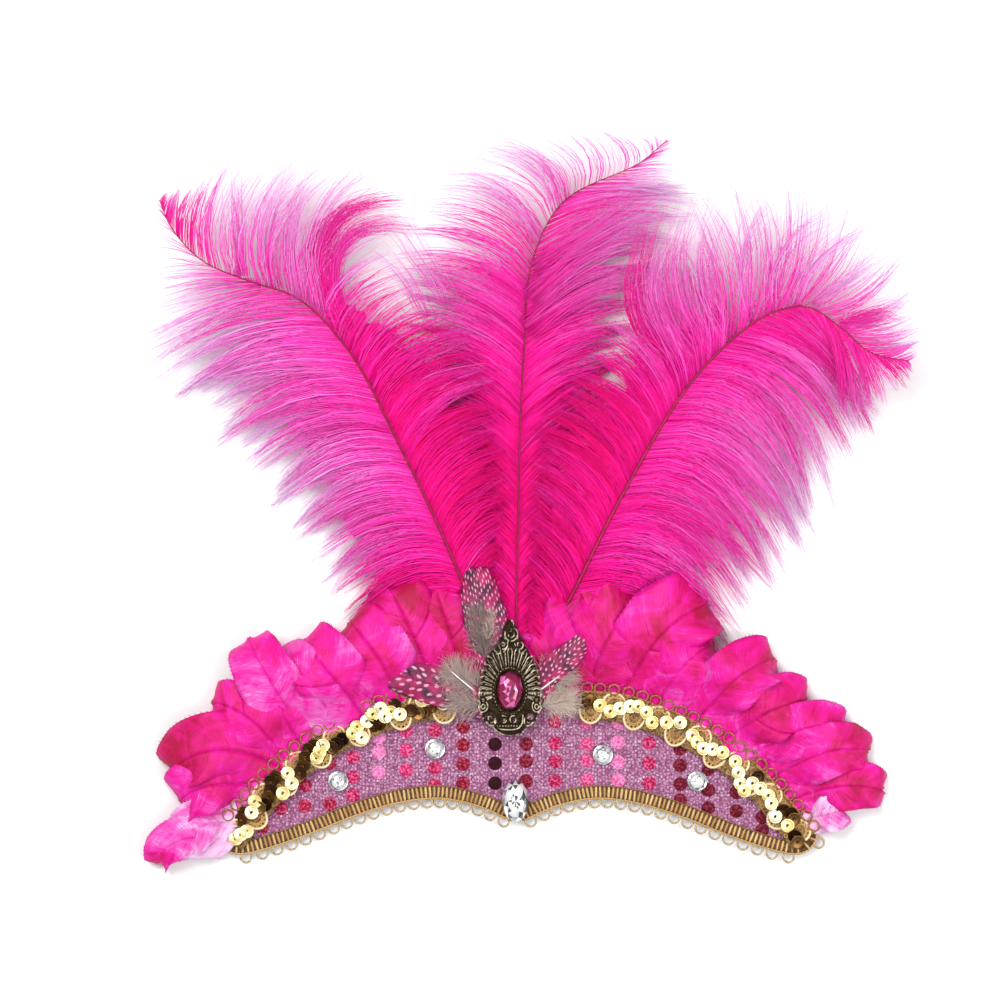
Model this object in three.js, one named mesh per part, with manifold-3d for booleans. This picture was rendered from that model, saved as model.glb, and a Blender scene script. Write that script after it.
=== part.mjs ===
// A carnival feather headdress that lies on its back, in millimetres.
// +X is the wearer's left as seen from the front, +Y runs up the plumes and +Z comes out of its front.
import * as THREE from "three";
import { mergeVertices } from "three/addons/utils/BufferGeometryUtils.js";
import Module from "manifold-3d";

const wasm = await Module();
wasm.setup();

// Driving dimensions. While the pieces are made, the origin is on the floor below the band's middle point.
const AXIS_X = 1;
const BOARD_THICK = 3;
const SEAT_GAP = 0.3;
const BRAID_THICK = 1.2;
const TAPE_THICK = 1.2;
const GIMP_THICK = 1.4;
const SEQUIN_THICK = 1.1;
const LOWER_BRAID_WIDTH = 6.1;
const BRAID_INSIDE_BOARD = 3.4;
const GIMP_WIDTH = 12.5;
const GIMP_SHELL = 2.2;
const GIMP_SHELL_PITCH = 21;
const SEQUIN_ACROSS = 6;
const SEQUIN_PITCH = 4.9;
const SEQUIN_SWING = 2.6;
const PICOT_PITCH = 6.6;
const PICOT_RADIUS = 2.9;
const PICOT_HOLE = 1.55;
const PICOT_DROP = 2.3;
const TAPE_WIDTH = 8;
const TAPE_INSET = 1.5;
const FEATHER_THICK = 1.1;
const FEATHER_FLAT_ROOT = 17;
const FEATHER_SAG = 2;
const QUILL_ROOT = 2.8;
const QUILL_TIP = 1.1;
const VANE_ROOT_THICK = 1.7;
const VANE_TIP_THICK = 1;
const LOCK_RELIEF = 0.4;
const LOCK_NOTCH = 0.84;
const PLUME_LOCKS = 16;
const BARE_QUILL = 0.09;
const LEAST_REACH = 2;
const VANE_CURVE = 1.6;

// Levels of the layers above the floor.
const ON_BOARD = BOARD_THICK + SEAT_GAP;
const ON_TAPE = ON_BOARD + TAPE_THICK + SEAT_GAP;
const ON_GIMP = ON_TAPE + GIMP_THICK + SEAT_GAP;
const ON_BRAID = ON_BOARD + BRAID_THICK + SEAT_GAP;

// The band's edges, as heights y at a distance out from its middle line.
const BAND_LOWER_EDGE = [
  { out: 0, y: 6 },
  { out: 5, y: 8.2 },
  { out: 10, y: 10.6 },
  { out: 19, y: 13.8 },
  { out: 35, y: 16.6 },
  { out: 55, y: 14.4 },
  { out: 76, y: 8 },
  { out: 92, y: 1.6 },
  { out: 106, y: -3.6 },
  { out: 121, y: -7.6 },
];
const BAND_UPPER_EDGE = [
  { out: 0, y: 61 },
  { out: 28, y: 58.5 },
  { out: 46, y: 55.5 },
  { out: 61, y: 51 },
  { out: 78, y: 43.5 },
  { out: 93, y: 34.5 },
  { out: 107, y: 23 },
  { out: 118, y: 12 },
  { out: 127, y: 1 },
  { out: 131, y: -6 },
  { out: 129, y: -12 },
];

// The middle of the wide gimp braid on one side, from beside the brooch out to the band's tip.
const GIMP_ROUTE = [
  { out: 28, y: 53 },
  { out: 46, y: 51.5 },
  { out: 61, y: 47 },
  { out: 77.5, y: 39.6 },
  { out: 92.5, y: 30.4 },
  { out: 106.5, y: 18.6 },
  { out: 118, y: 5.8 },
  { out: 129, y: -8.5 },
];

// Goose feathers: root as a share of the gimp route, tip place and height, width, bow to the left, cupping.
const GOOSE_LEFT = [
  { root: 0.03, tipX: -36, tipY: 104, tipZ: 12.5, width: 25, bow: 3, cup: 1.5 },
  { root: 0.15, tipX: -57, tipY: 103, tipZ: 15, width: 28, bow: -4, cup: 4 },
  { root: 0.29, tipX: -75, tipY: 92, tipZ: 18, width: 28, bow: 5, cup: 4 },
  { root: 0.42, tipX: -95, tipY: 83, tipZ: 13, width: 26, bow: -4, cup: 4 },
  { root: 0.53, tipX: -116, tipY: 85, tipZ: 17, width: 28, bow: 5, cup: 5 },
  { root: 0.64, tipX: -131, tipY: 67, tipZ: 12, width: 30, bow: -5, cup: 4 },
  { root: 0.74, tipX: -149, tipY: 44, tipZ: 14, width: 34, bow: 5, cup: 5 },
  { root: 0.85, tipX: -159, tipY: 19, tipZ: 7, width: 32, bow: -4, cup: 4 },
  { root: 0.96, tipX: -165, tipY: -11, tipZ: 3, width: 26, bow: 4, cup: 2 },
];
const GOOSE_RIGHT = [
  { root: 0.06, tipX: 43, tipY: 105, tipZ: 14, width: 24, bow: -2, cup: 1.5 },
  { root: 0.17, tipX: 61, tipY: 98, tipZ: 15, width: 27, bow: -4, cup: 4 },
  { root: 0.3, tipX: 86, tipY: 96, tipZ: 18, width: 28, bow: 4, cup: 4 },
  { root: 0.42, tipX: 95, tipY: 83, tipZ: 12, width: 25, bow: -3, cup: 4 },
  { root: 0.53, tipX: 111, tipY: 82, tipZ: 17, width: 29, bow: 5, cup: 5 },
  { root: 0.64, tipX: 131, tipY: 64, tipZ: 12, width: 31, bow: -5, cup: 4 },
  { root: 0.74, tipX: 151, tipY: 52, tipZ: 15, width: 32, bow: 5, cup: 5 },
  { root: 0.85, tipX: 161, tipY: 30, tipZ: 8, width: 31, bow: -4, cup: 4 },
  { root: 0.95, tipX: 167, tipY: 12, tipZ: 1, width: 26, bow: 4, cup: 3 },
];

// Shares of a small feather's width, from its root to its tip.
const FEATHER_PROFILE = [
  { at: 0, width: 0.34 },
  { at: 0.27, width: 0.82 },
  { at: 0.54, width: 1 },
  { at: 0.82, width: 0.84 },
  { at: 1, width: 0.28 },
];

// Spotted guinea feathers round the brooch.
const GUINEA_FEATHERS = [
  { side: "left", rootX: -9, rootY: 57, tipX: -60, tipY: 67, tipZ: 12, width: 25, bow: -2 },
  { side: "top", rootX: -3, rootY: 73, tipX: -20, tipY: 113, tipZ: 17, width: 20, bow: 2 },
  { side: "right", rootX: 4, rootY: 58, tipX: 30, tipY: 87, tipZ: 15.5, width: 21, bow: 3 },
];
const GUINEA_ROOT_Z = 8.2;
const GUINEA_THICK = 1;
const GUINEA_FLAT_ROOT = 9;
const GUINEA_SAG = 0.5;
const GUINEA_CUP = 1;

// Ostrich plumes. A vane row says how far the barbs reach on each side of the quill at a share of its
// length, the lean of the barbs from the quill in degrees, and the height of their tips.
const LEFT_QUILL = [
  { x: -7, y: 52, z: 5 },
  { x: -14, y: 81, z: 6.2 },
  { x: -29, y: 121, z: 11 },
  { x: -52, y: 170, z: 15.5 },
  { x: -74, y: 211, z: 17.5 },
  { x: -97, y: 235, z: 18.5 },
  { x: -119, y: 243, z: 19.5 },
  { x: -140, y: 252, z: 22 },
  { x: -154, y: 267, z: 28 },
  { x: -159, y: 279, z: 34 },
];
const LEFT_VANE = [
  { at: 0.1, leftReach: 10, leftLean: 70, leftTip: 5, rightReach: 6, rightLean: 55, rightTip: 6 },
  { at: 0.18, leftReach: 37, leftLean: 88, leftTip: 1, rightReach: 25, rightLean: 62, rightTip: 7.5 },
  { at: 0.32, leftReach: 52, leftLean: 84, leftTip: 0.6, rightReach: 44, rightLean: 76, rightTip: 10 },
  { at: 0.44, leftReach: 57, leftLean: 82, leftTip: 0.6, rightReach: 52, rightLean: 82, rightTip: 12 },
  { at: 0.52, leftReach: 72, leftLean: 76, leftTip: 0.6, rightReach: 55, rightLean: 86, rightTip: 13 },
  { at: 0.6, leftReach: 77, leftLean: 71, leftTip: 0.6, rightReach: 57, rightLean: 90, rightTip: 14 },
  { at: 0.67, leftReach: 77, leftLean: 63, leftTip: 1.5, rightReach: 63, rightLean: 93, rightTip: 15 },
  { at: 0.73, leftReach: 68, leftLean: 46, leftTip: 4, rightReach: 68, rightLean: 98, rightTip: 15 },
  { at: 0.79, leftReach: 50, leftLean: 30, leftTip: 8, rightReach: 59, rightLean: 94, rightTip: 13 },
  { at: 0.86, leftReach: 29, leftLean: 20, leftTip: 14, rightReach: 46, rightLean: 74, rightTip: 13 },
  { at: 0.93, leftReach: 14, leftLean: 16, leftTip: 24, rightReach: 25, rightLean: 50, rightTip: 20 },
  { at: 1, leftReach: 2.5, leftLean: 20, leftTip: 33, rightReach: 3, rightLean: 40, rightTip: 33 },
];
const CENTRE_QUILL = [
  { x: -1, y: 52, z: 5 },
  { x: 1, y: 113, z: 5.2 },
  { x: 2, y: 168, z: 5.6 },
  { x: 4, y: 212, z: 7 },
  { x: 8, y: 253, z: 11 },
  { x: 22, y: 279, z: 16 },
  { x: 56, y: 296, z: 25 },
  { x: 68, y: 306, z: 31 },
];
const CENTRE_VANE = [
  { at: 0.1, leftReach: 7, leftLean: 52, leftTip: 4, rightReach: 7, rightLean: 52, rightTip: 4 },
  { at: 0.2, leftReach: 28, leftLean: 51, leftTip: 2, rightReach: 28, rightLean: 49, rightTip: 2 },
  { at: 0.4, leftReach: 51, leftLean: 62, leftTip: 1, rightReach: 53, rightLean: 58, rightTip: 1 },
  { at: 0.56, leftReach: 61, leftLean: 71, leftTip: 1, rightReach: 60, rightLean: 68, rightTip: 1 },
  { at: 0.64, leftReach: 64, leftLean: 76, leftTip: 2, rightReach: 64, rightLean: 71, rightTip: 2 },
  { at: 0.7, leftReach: 64, leftLean: 83, leftTip: 3.5, rightReach: 65, rightLean: 66, rightTip: 3 },
  { at: 0.76, leftReach: 57, leftLean: 95, leftTip: 6, rightReach: 60, rightLean: 53, rightTip: 5 },
  { at: 0.82, leftReach: 45, leftLean: 104, leftTip: 10, rightReach: 48, rightLean: 37, rightTip: 9 },
  { at: 0.88, leftReach: 32, leftLean: 104, leftTip: 17, rightReach: 33, rightLean: 24, rightTip: 16 },
  { at: 0.95, leftReach: 16, leftLean: 95, leftTip: 26, rightReach: 15, rightLean: 18, rightTip: 25 },
  { at: 1, leftReach: 3, leftLean: 60, leftTip: 30, rightReach: 2.5, rightLean: 25, rightTip: 30 },
];
const RIGHT_QUILL = [
  { x: 7, y: 52, z: 5 },
  { x: 15, y: 80, z: 6.2 },
  { x: 29, y: 109, z: 10 },
  { x: 47, y: 145, z: 13.5 },
  { x: 74, y: 191, z: 16.5 },
  { x: 92, y: 212, z: 17.5 },
  { x: 113, y: 228, z: 19 },
  { x: 131, y: 231.5, z: 21 },
  { x: 146, y: 222, z: 24 },
  { x: 159, y: 211, z: 28 },
  { x: 176, y: 207, z: 33 },
];
const RIGHT_VANE = [
  { at: 0.1, leftReach: 6, leftLean: 58, leftTip: 6, rightReach: 12, rightLean: 82, rightTip: 5 },
  { at: 0.15, leftReach: 30, leftLean: 60, leftTip: 7, rightReach: 33, rightLean: 88, rightTip: 2 },
  { at: 0.27, leftReach: 46, leftLean: 70, leftTip: 9.5, rightReach: 64, rightLean: 93, rightTip: 0.6 },
  { at: 0.36, leftReach: 53, leftLean: 76, leftTip: 11, rightReach: 74, rightLean: 98, rightTip: 0.6 },
  { at: 0.45, leftReach: 55, leftLean: 77, leftTip: 12.5, rightReach: 80, rightLean: 102, rightTip: 0.6 },
  { at: 0.54, leftReach: 56, leftLean: 73, leftTip: 14, rightReach: 83, rightLean: 103, rightTip: 0.6 },
  { at: 0.61, leftReach: 60, leftLean: 67, leftTip: 15, rightReach: 82, rightLean: 96, rightTip: 1 },
  { at: 0.68, leftReach: 66, leftLean: 62, leftTip: 13, rightReach: 73, rightLean: 82, rightTip: 3 },
  { at: 0.75, leftReach: 57, leftLean: 57, leftTip: 14, rightReach: 57, rightLean: 72, rightTip: 7 },
  { at: 0.81, leftReach: 48, leftLean: 60, leftTip: 17, rightReach: 48, rightLean: 44, rightTip: 12 },
  { at: 0.87, leftReach: 37, leftLean: 64, leftTip: 22, rightReach: 34, rightLean: 20, rightTip: 20 },
  { at: 0.94, leftReach: 20, leftLean: 40, leftTip: 28, rightReach: 18, rightLean: 22, rightTip: 28 },
  { at: 1, leftReach: 3, leftLean: 30, leftTip: 32, rightReach: 3, rightLean: 30, rightTip: 32 },
];

// The brooch, with its own middle at the stone: half widths at heights y.
const BROOCH_HALF_OUTLINE = [
  { y: 31.5, half: 0.9 },
  { y: 28.5, half: 3 },
  { y: 25, half: 3.4 },
  { y: 22.5, half: 5.6 },
  { y: 17.5, half: 8.4 },
  { y: 12, half: 11 },
  { y: 3, half: 12.9 },
  { y: -7, half: 13.2 },
  { y: -13.5, half: 11.6 },
  { y: -15.5, half: 8 },
  { y: -19.3, half: 5 },
];
const BROOCH_HOLES = [
  { x: 3.1, y: 21, radius: 1.1 },
  { x: 2.5, y: -13.6, radius: 1.2 },
  { x: 9.2, y: -11.8, radius: 1.7 },
  { x: 12, y: -4.2, radius: 0.8 },
];
const BROOCH = { x: -2.3, y: 59.4, z: 9.6, tilt: 3.5, thick: 1.4, relief: 0.9, ribs: 19, ribWide: 0.8 };
const RIB_FAN = { from: -12, to: 192, over: 0.5, sunk: 0.3 };
const TRAY = { width: 14.4, high: 5, y: -15, wall: 1.2, steps: 8 };
const FINIAL = { y: 27.4, outer: 2.4, inner: 1 };
const HOLE_RIM = 0.9;
const BEZEL = { wall: 0.9, play: 0.35, high: 1.5, sides: 16 };
const BROOCH_STONE = { width: 12.3, length: 18.6, high: 5, sides: 12 };
const OVAL_STONE = { x: 0.2, y: 9.6, width: 13, length: 19.4, high: 5, sides: 12 };
const ROUND_STONES = [
  { x: -79.5, y: 18.5 },
  { x: -36, y: 33 },
  { x: 39.5, y: 30.3 },
  { x: 82, y: 18.5 },
];
const ROUND_STONE = { across: 9.3, high: 3.4, sides: 8 };

// Colours and surfaces.
function finish(color, roughness, metalness) {
  return new THREE.MeshStandardMaterial({ color, roughness, metalness });
}
const SPARKLE_FABRIC = () => finish(0xb87fa6, 0.75, 0.05);
const GOLD_BRAID = () => finish(0xa5824a, 0.55, 0.35);
const GOLD_SEQUIN = () => finish(0xd9c27e, 0.25, 0.85);
const OSTRICH = () => finish(0xe0148f, 0.85, 0);
const GOOSE = () => finish(0xdb1a97, 0.6, 0);
const GUINEA = () => finish(0x6d5560, 0.8, 0);
const BRONZE = () => finish(0x5b4c34, 0.45, 0.85);
const PINK_GLASS = () => finish(0xb0145f, 0.08, 0.1);
const CLEAR_GLASS = () => finish(0xdfe4e6, 0.06, 0.2);

// A value read between the rows of a table.
function readTable(rows, key, at, column) {
  const last = rows.length - 1;
  let i = 1;
  while (i < last && rows[i][key] < at) i += 1;
  const share = THREE.MathUtils.clamp((at - rows[i - 1][key]) / (rows[i][key] - rows[i - 1][key]), 0, 1);
  return THREE.MathUtils.lerp(rows[i - 1][column], rows[i][column], share);
}

// The same rows as a smooth curve on one side of the middle line.
function sideCurve(rows, side) {
  const points = rows.map((row) => new THREE.Vector3(AXIS_X + side * row.out, row.y, 0));
  return new THREE.CatmullRomCurve3(points, false, "centripetal");
}

function extrude(shape, low, thick) {
  const geometry = new THREE.ExtrudeGeometry(shape, { depth: thick, bevelEnabled: false });
  geometry.translate(0, 0, low);
  return geometry;
}

function polygonPath(x, y, radius, sides, turn = 0) {
  const points = [];
  for (let i = 0; i < sides; i += 1) {
    const angle = turn + (2 * Math.PI * i) / sides;
    points.push(new THREE.Vector2(x + radius * Math.cos(angle), y + radius * Math.sin(angle)));
  }
  return new THREE.Path(points);
}

function bareGeometry(geometry) {
  const bare = geometry.clone();
  bare.deleteAttribute("normal");
  bare.deleteAttribute("uv");
  return mergeVertices(bare, 1e-4);
}

function solidFrom(geometry) {
  const merged = bareGeometry(geometry);
  const mesh = new wasm.Mesh({
    numProp: 3,
    vertProperties: new Float32Array(merged.attributes.position.array),
    triVerts: new Uint32Array(merged.index.array),
  });
  return new wasm.Manifold(mesh);
}

function geometryFrom(solid) {
  const mesh = solid.getMesh();
  const geometry = new THREE.BufferGeometry();
  geometry.setAttribute("position", new THREE.BufferAttribute(new Float32Array(mesh.vertProperties), 3));
  geometry.setIndex(new THREE.BufferAttribute(new Uint32Array(mesh.triVerts), 1));
  geometry.computeVertexNormals();
  return geometry;
}

function joined(geometries) {
  return geometryFrom(geometries.map(solidFrom).reduce((whole, next) => whole.add(next)));
}

function signedVolume(positions, index) {
  const a = new THREE.Vector3();
  const b = new THREE.Vector3();
  const c = new THREE.Vector3();
  let sum = 0;
  for (let i = 0; i < index.length; i += 3) {
    a.fromArray(positions, 3 * index[i]);
    b.fromArray(positions, 3 * index[i + 1]);
    c.fromArray(positions, 3 * index[i + 2]);
    sum += a.dot(b.cross(c)) / 6;
  }
  return sum;
}

// A thin closed body over a grid of places, each with a low and a high level.
function closedSheet(rows) {
  const down = rows.length;
  const across = rows[0].length;
  const positions = [];
  for (const level of ["high", "low"]) {
    for (const row of rows) {
      for (const place of row) positions.push(place.x, place.y, place[level]);
    }
  }
  const top = (i, j) => i * across + j;
  const bottom = (i, j) => down * across + i * across + j;
  const index = [];
  const quad = (a, b, c, d) => index.push(a, b, c, a, c, d);
  for (let i = 0; i + 1 < down; i += 1) {
    for (let j = 0; j + 1 < across; j += 1) {
      quad(top(i, j), top(i + 1, j), top(i + 1, j + 1), top(i, j + 1));
      quad(bottom(i, j), bottom(i, j + 1), bottom(i + 1, j + 1), bottom(i + 1, j));
    }
    quad(top(i, 0), bottom(i, 0), bottom(i + 1, 0), top(i + 1, 0));
    quad(top(i, across - 1), top(i + 1, across - 1), bottom(i + 1, across - 1), bottom(i, across - 1));
  }
  for (let j = 0; j + 1 < across; j += 1) {
    quad(top(0, j), top(0, j + 1), bottom(0, j + 1), bottom(0, j));
    quad(top(down - 1, j), bottom(down - 1, j), bottom(down - 1, j + 1), top(down - 1, j + 1));
  }
  if (signedVolume(positions, index) < 0) index.reverse();
  const geometry = new THREE.BufferGeometry();
  geometry.setAttribute("position", new THREE.Float32BufferAttribute(positions, 3));
  geometry.setIndex(index);
  geometry.computeVertexNormals();
  return geometry;
}

// The stiff board, cut to the band's outline, with a flat back on the floor.
function bandBoard() {
  const steps = 16;
  const outline = [];
  for (const side of [1, -1]) {
    const lower = sideCurve(BAND_LOWER_EDGE, side).getSpacedPoints(steps);
    for (const point of lower) point.y -= BRAID_INSIDE_BOARD;
    const upper = sideCurve(BAND_UPPER_EDGE, side).getSpacedPoints(steps + 6);
    const half = side > 0 ? [...lower, ...upper.reverse()] : [...upper, ...lower.reverse()];
    outline.push(...half.slice(0, -1));
  }
  return extrude(new THREE.Shape(outline.map((p) => new THREE.Vector2(p.x, p.y))), 0, BOARD_THICK);
}

// Places of picot loops, one pitch apart, on a line of points, each with its outward normal.
function picotPlaces(line, outward) {
  const curve = new THREE.CatmullRomCurve3(line, false, "centripetal");
  const count = Math.floor(curve.getLength() / PICOT_PITCH);
  const places = [];
  for (let i = 0; i < count; i += 1) {
    const at = (i + 0.5) / count;
    const point = curve.getPointAt(at);
    const tangent = curve.getTangentAt(at);
    const normal = new THREE.Vector2(tangent.y, -tangent.x).multiplyScalar(outward).normalize();
    const centre = new THREE.Vector2(point.x, point.y).addScaledVector(normal, PICOT_DROP);
    places.push({ normal, centre });
  }
  return places;
}

// Adds the outside of each loop to an outline, in the order of the line.
function picotOutline(places, turn) {
  const outline = [];
  for (const { normal, centre } of places) {
    for (const degrees of [-112, -40, 40, 112]) {
      const arm = normal.clone().rotateAround(new THREE.Vector2(), THREE.MathUtils.degToRad(turn * degrees));
      outline.push(centre.clone().addScaledVector(arm, PICOT_RADIUS));
    }
  }
  return outline;
}

function picotHoles(places) {
  return places.map(({ centre, normal }) => polygonPath(centre.x, centre.y, PICOT_HOLE, 5, normal.angle()));
}

// The narrow ribbed braid along the lower edge, with its row of loops below.
function lowerBraid() {
  const steps = 18;
  const right = sideCurve(BAND_LOWER_EDGE, 1).getSpacedPoints(steps);
  const left = sideCurve(BAND_LOWER_EDGE, -1).getSpacedPoints(steps).reverse();
  const top = [...left, ...right.slice(1)];
  const bottom = top.map((point, i) => {
    const before = top[Math.max(i - 1, 0)];
    const after = top[Math.min(i + 1, top.length - 1)];
    const slope = (after.y - before.y) / (after.x - before.x);
    return new THREE.Vector3(point.x, point.y - LOWER_BRAID_WIDTH * Math.hypot(1, slope), 0);
  });
  const places = picotPlaces(bottom, 1);
  const ends = [bottom[0], bottom[bottom.length - 1]].map((p) => new THREE.Vector2(p.x, p.y));
  const outline = [...top.map((p) => new THREE.Vector2(p.x, p.y))].reverse();
  outline.push(ends[0], ...picotOutline(places, 1), ends[1]);
  const shape = new THREE.Shape(outline);
  shape.holes.push(...picotHoles(places));
  return extrude(shape, ON_BOARD, BRAID_THICK);
}

// A point beside the gimp route: outward is towards the feathers.
function besideRoute(curve, side, at, outward) {
  const point = curve.getPointAt(at);
  const tangent = curve.getTangentAt(at);
  const normal = new THREE.Vector2(-tangent.y, tangent.x).multiplyScalar(side);
  return new THREE.Vector2(point.x, point.y).addScaledVector(normal, outward);
}

// The wide scroll gimp on the upper edge: loops outside and fan shells inside.
function upperBraid(side) {
  const curve = sideCurve(GIMP_ROUTE, side);
  const length = curve.getLength();
  const edgeSteps = 24;
  const line = [];
  for (let i = 0; i <= edgeSteps; i += 1) {
    const point = besideRoute(curve, side, i / edgeSteps, GIMP_WIDTH / 2);
    line.push(new THREE.Vector3(point.x, point.y, 0));
  }
  const places = picotPlaces(line, -side);
  const shells = Math.round(length / GIMP_SHELL_PITCH);
  const perShell = 5;
  const inner = [];
  for (let i = 0; i <= shells * perShell; i += 1) {
    const swell = GIMP_SHELL * Math.abs(Math.sin((Math.PI * i) / perShell));
    inner.push(besideRoute(curve, side, i / (shells * perShell), -GIMP_WIDTH / 2 - swell));
  }
  const shape = new THREE.Shape([...picotOutline(places, -side), ...inner.reverse()]);
  shape.holes.push(...picotHoles(places));
  return extrude(shape, ON_TAPE, GIMP_THICK);
}

// The string of overlapping cup sequins, sewn down in a wave on the gimp.
function sequinString(side) {
  const curve = sideCurve(GIMP_ROUTE, side);
  const length = curve.getLength();
  const count = Math.round(length / SEQUIN_PITCH);
  const upper = [];
  const lower = [];
  for (let i = 0; i < count; i += 1) {
    const at = (i + 0.5) / count;
    const middle = SEQUIN_SWING * Math.sin((2 * Math.PI * at * length) / GIMP_SHELL_PITCH);
    const radius = SEQUIN_ACROSS / 2;
    for (const step of [-0.45, 0.25]) {
      const place = at + (step * radius) / length;
      const half = radius * Math.sqrt(1 - step * step);
      upper.push(besideRoute(curve, side, place, middle + half));
      lower.push(besideRoute(curve, side, place, middle - half));
    }
  }
  return extrude(new THREE.Shape([...upper, ...lower.reverse()]), ON_GIMP, SEQUIN_THICK);
}

// A leaf-shaped feather, cupped across, from its root to its tip.
function smallFeather({ root, tip, width, bow, cup, thick, flat, rootZ, tipZ, sag }) {
  const along = tip.clone().sub(root);
  const length = along.length();
  along.normalize();
  const across = new THREE.Vector2(-along.y, along.x);
  const rows = FEATHER_PROFILE.map(({ at, width: share }) => {
    const rise = THREE.MathUtils.smoothstep(at * length, flat, length);
    const middle = THREE.MathUtils.lerp(rootZ, tipZ, rise) + sag * Math.sin(Math.PI * rise);
    const bend = 4 * bow * at * (1 - at);
    return [-1, 0, 1].map((column) => {
      const place = root.clone().addScaledVector(along, at * length);
      place.addScaledVector(across, bend + (column * share * width) / 2);
      const drop = cup * rise * column * column;
      const level = Math.max(middle - drop, thick / 2);
      return { x: place.x, y: place.y, low: level - thick / 2, high: level + thick / 2 };
    });
  });
  return closedSheet(rows);
}

// The woven tape that goose feathers are sewn into, under the gimp.
function gooseTape(side) {
  const curve = sideCurve(GIMP_ROUTE, side);
  const steps = 14;
  const shares = Array.from({ length: steps + 1 }, (_, i) => i / steps);
  const edge = (offset) => shares.map((at) => besideRoute(curve, side, at, offset));
  const inner = -GIMP_WIDTH / 2 + TAPE_INSET;
  const outline = [...edge(inner), ...edge(inner + TAPE_WIDTH).reverse()];
  return extrude(new THREE.Shape(outline), ON_BOARD, TAPE_THICK);
}

function gooseFringe(side, feathers) {
  const curve = sideCurve(GIMP_ROUTE, side);
  const leaves = feathers.map((row) =>
    smallFeather({
      root: besideRoute(curve, side, row.root, 0),
      tip: new THREE.Vector2(row.tipX, row.tipY),
      width: row.width,
      bow: row.bow,
      cup: row.cup,
      thick: FEATHER_THICK,
      flat: FEATHER_FLAT_ROOT,
      rootZ: ON_BOARD + TAPE_THICK / 2,
      tipZ: row.tipZ,
      sag: FEATHER_SAG,
    }),
  );
  return joined([gooseTape(side), ...leaves]);
}

function guineaFeather(row) {
  return smallFeather({
    root: new THREE.Vector2(row.rootX, row.rootY),
    tip: new THREE.Vector2(row.tipX, row.tipY),
    width: row.width,
    bow: row.bow,
    cup: GUINEA_CUP,
    thick: GUINEA_THICK,
    flat: GUINEA_FLAT_ROOT,
    rootZ: GUINEA_ROOT_Z,
    tipZ: row.tipZ,
    sag: GUINEA_SAG,
  });
}

// A plume: the quill with a vane of barbs on each side, in locks with notches between them.
function plume(quillRows, vaneRows) {
  const quill = new THREE.CatmullRomCurve3(
    quillRows.map((row) => new THREE.Vector3(row.x, row.y, row.z)),
    false,
    "centripetal",
  );
  const stations = [0, BARE_QUILL / 2, BARE_QUILL];
  const steps = 2 * PLUME_LOCKS;
  for (let i = 1; i <= steps; i += 1) stations.push(BARE_QUILL + ((1 - BARE_QUILL) * i) / steps);
  const rows = stations.map((at, i) => {
    const centre = quill.getPointAt(at);
    const tangent = quill.getTangentAt(at);
    const heading = Math.atan2(tangent.y, tangent.x);
    const quillThick = THREE.MathUtils.lerp(QUILL_ROOT, QUILL_TIP, at);
    const bare = at <= BARE_QUILL;
    const notch = !bare && i % 2 === 0 && i < stations.length - 1;
    const side = (name, sign) => {
      const full = bare ? 0 : readTable(vaneRows, "at", at, `${name}Reach`) * (notch ? LOCK_NOTCH : 1);
      const reach = Math.max(full, LEAST_REACH);
      const lean = bare ? 90 : readTable(vaneRows, "at", at, `${name}Lean`);
      const tipZ = bare ? centre.z : readTable(vaneRows, "at", at, `${name}Tip`);
      const angle = heading + sign * THREE.MathUtils.degToRad(lean);
      const inner = Math.max(quillThick / 2, reach / 3);
      return [inner, (inner + reach) / 2, reach].map((distance, column) => {
        const share = distance / reach;
        const level = THREE.MathUtils.lerp(centre.z, tipZ, share ** VANE_CURVE);
        const round = quillThick * (1 - 0.3 * column);
        const vane = THREE.MathUtils.lerp(VANE_ROOT_THICK, VANE_TIP_THICK, share);
        const relief = column === 2 ? 0 : LOCK_RELIEF;
        const thick = bare ? round : vane + (notch ? -relief : relief);
        const middle = Math.max(level, thick / 2);
        return {
          x: centre.x + distance * Math.cos(angle),
          y: centre.y + distance * Math.sin(angle),
          low: middle - thick / 2,
          high: middle + thick / 2,
        };
      });
    };
    const half = quillThick / 2;
    const spine = { x: centre.x, y: centre.y, low: centre.z - half, high: centre.z + half };
    return [...side("left", 1).reverse(), spine, ...side("right", -1)];
  });
  return closedSheet(rows);
}

// A flat-backed cut stone: girdle, two rings of crown facets and a table.
function cutStone({ width, length, high, sides }, x, y, z) {
  const rings = [
    { level: 0, share: 0.86 },
    { level: 0.28, share: 1 },
    { level: 0.72, share: 0.82 },
    { level: 1, share: 0.55 },
  ];
  const positions = [];
  rings.forEach(({ level, share }, ring) => {
    for (let i = 0; i < sides; i += 1) {
      const angle = (2 * Math.PI * (i + ((ring + 1) % 2) / 2)) / sides;
      positions.push(x + (share * width * Math.cos(angle)) / 2, y + (share * length * Math.sin(angle)) / 2);
      positions.push(z + level * high);
    }
  });
  const index = [];
  for (let ring = 0; ring + 1 < rings.length; ring += 1) {
    const shift = (ring + 1) % 2;
    for (let i = 0; i < sides; i += 1) {
      const low = ring * sides + i;
      const nextLow = ring * sides + ((i + 1) % sides);
      const high0 = (ring + 1) * sides + i;
      const nextHigh = (ring + 1) * sides + ((i + 1) % sides);
      if (shift) index.push(low, nextLow, nextHigh, low, nextHigh, high0);
      else index.push(low, nextLow, high0, high0, nextLow, nextHigh);
    }
  }
  for (let i = 1; i + 1 < sides; i += 1) {
    index.push(0, i + 1, i);
    const table = (rings.length - 1) * sides;
    index.push(table, table + i, table + i + 1);
  }
  if (signedVolume(positions, index) < 0) index.reverse();
  const geometry = new THREE.BufferGeometry();
  geometry.setAttribute("position", new THREE.Float32BufferAttribute(positions, 3));
  geometry.setIndex(index);
  geometry.computeVertexNormals();
  return geometry;
}

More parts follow.
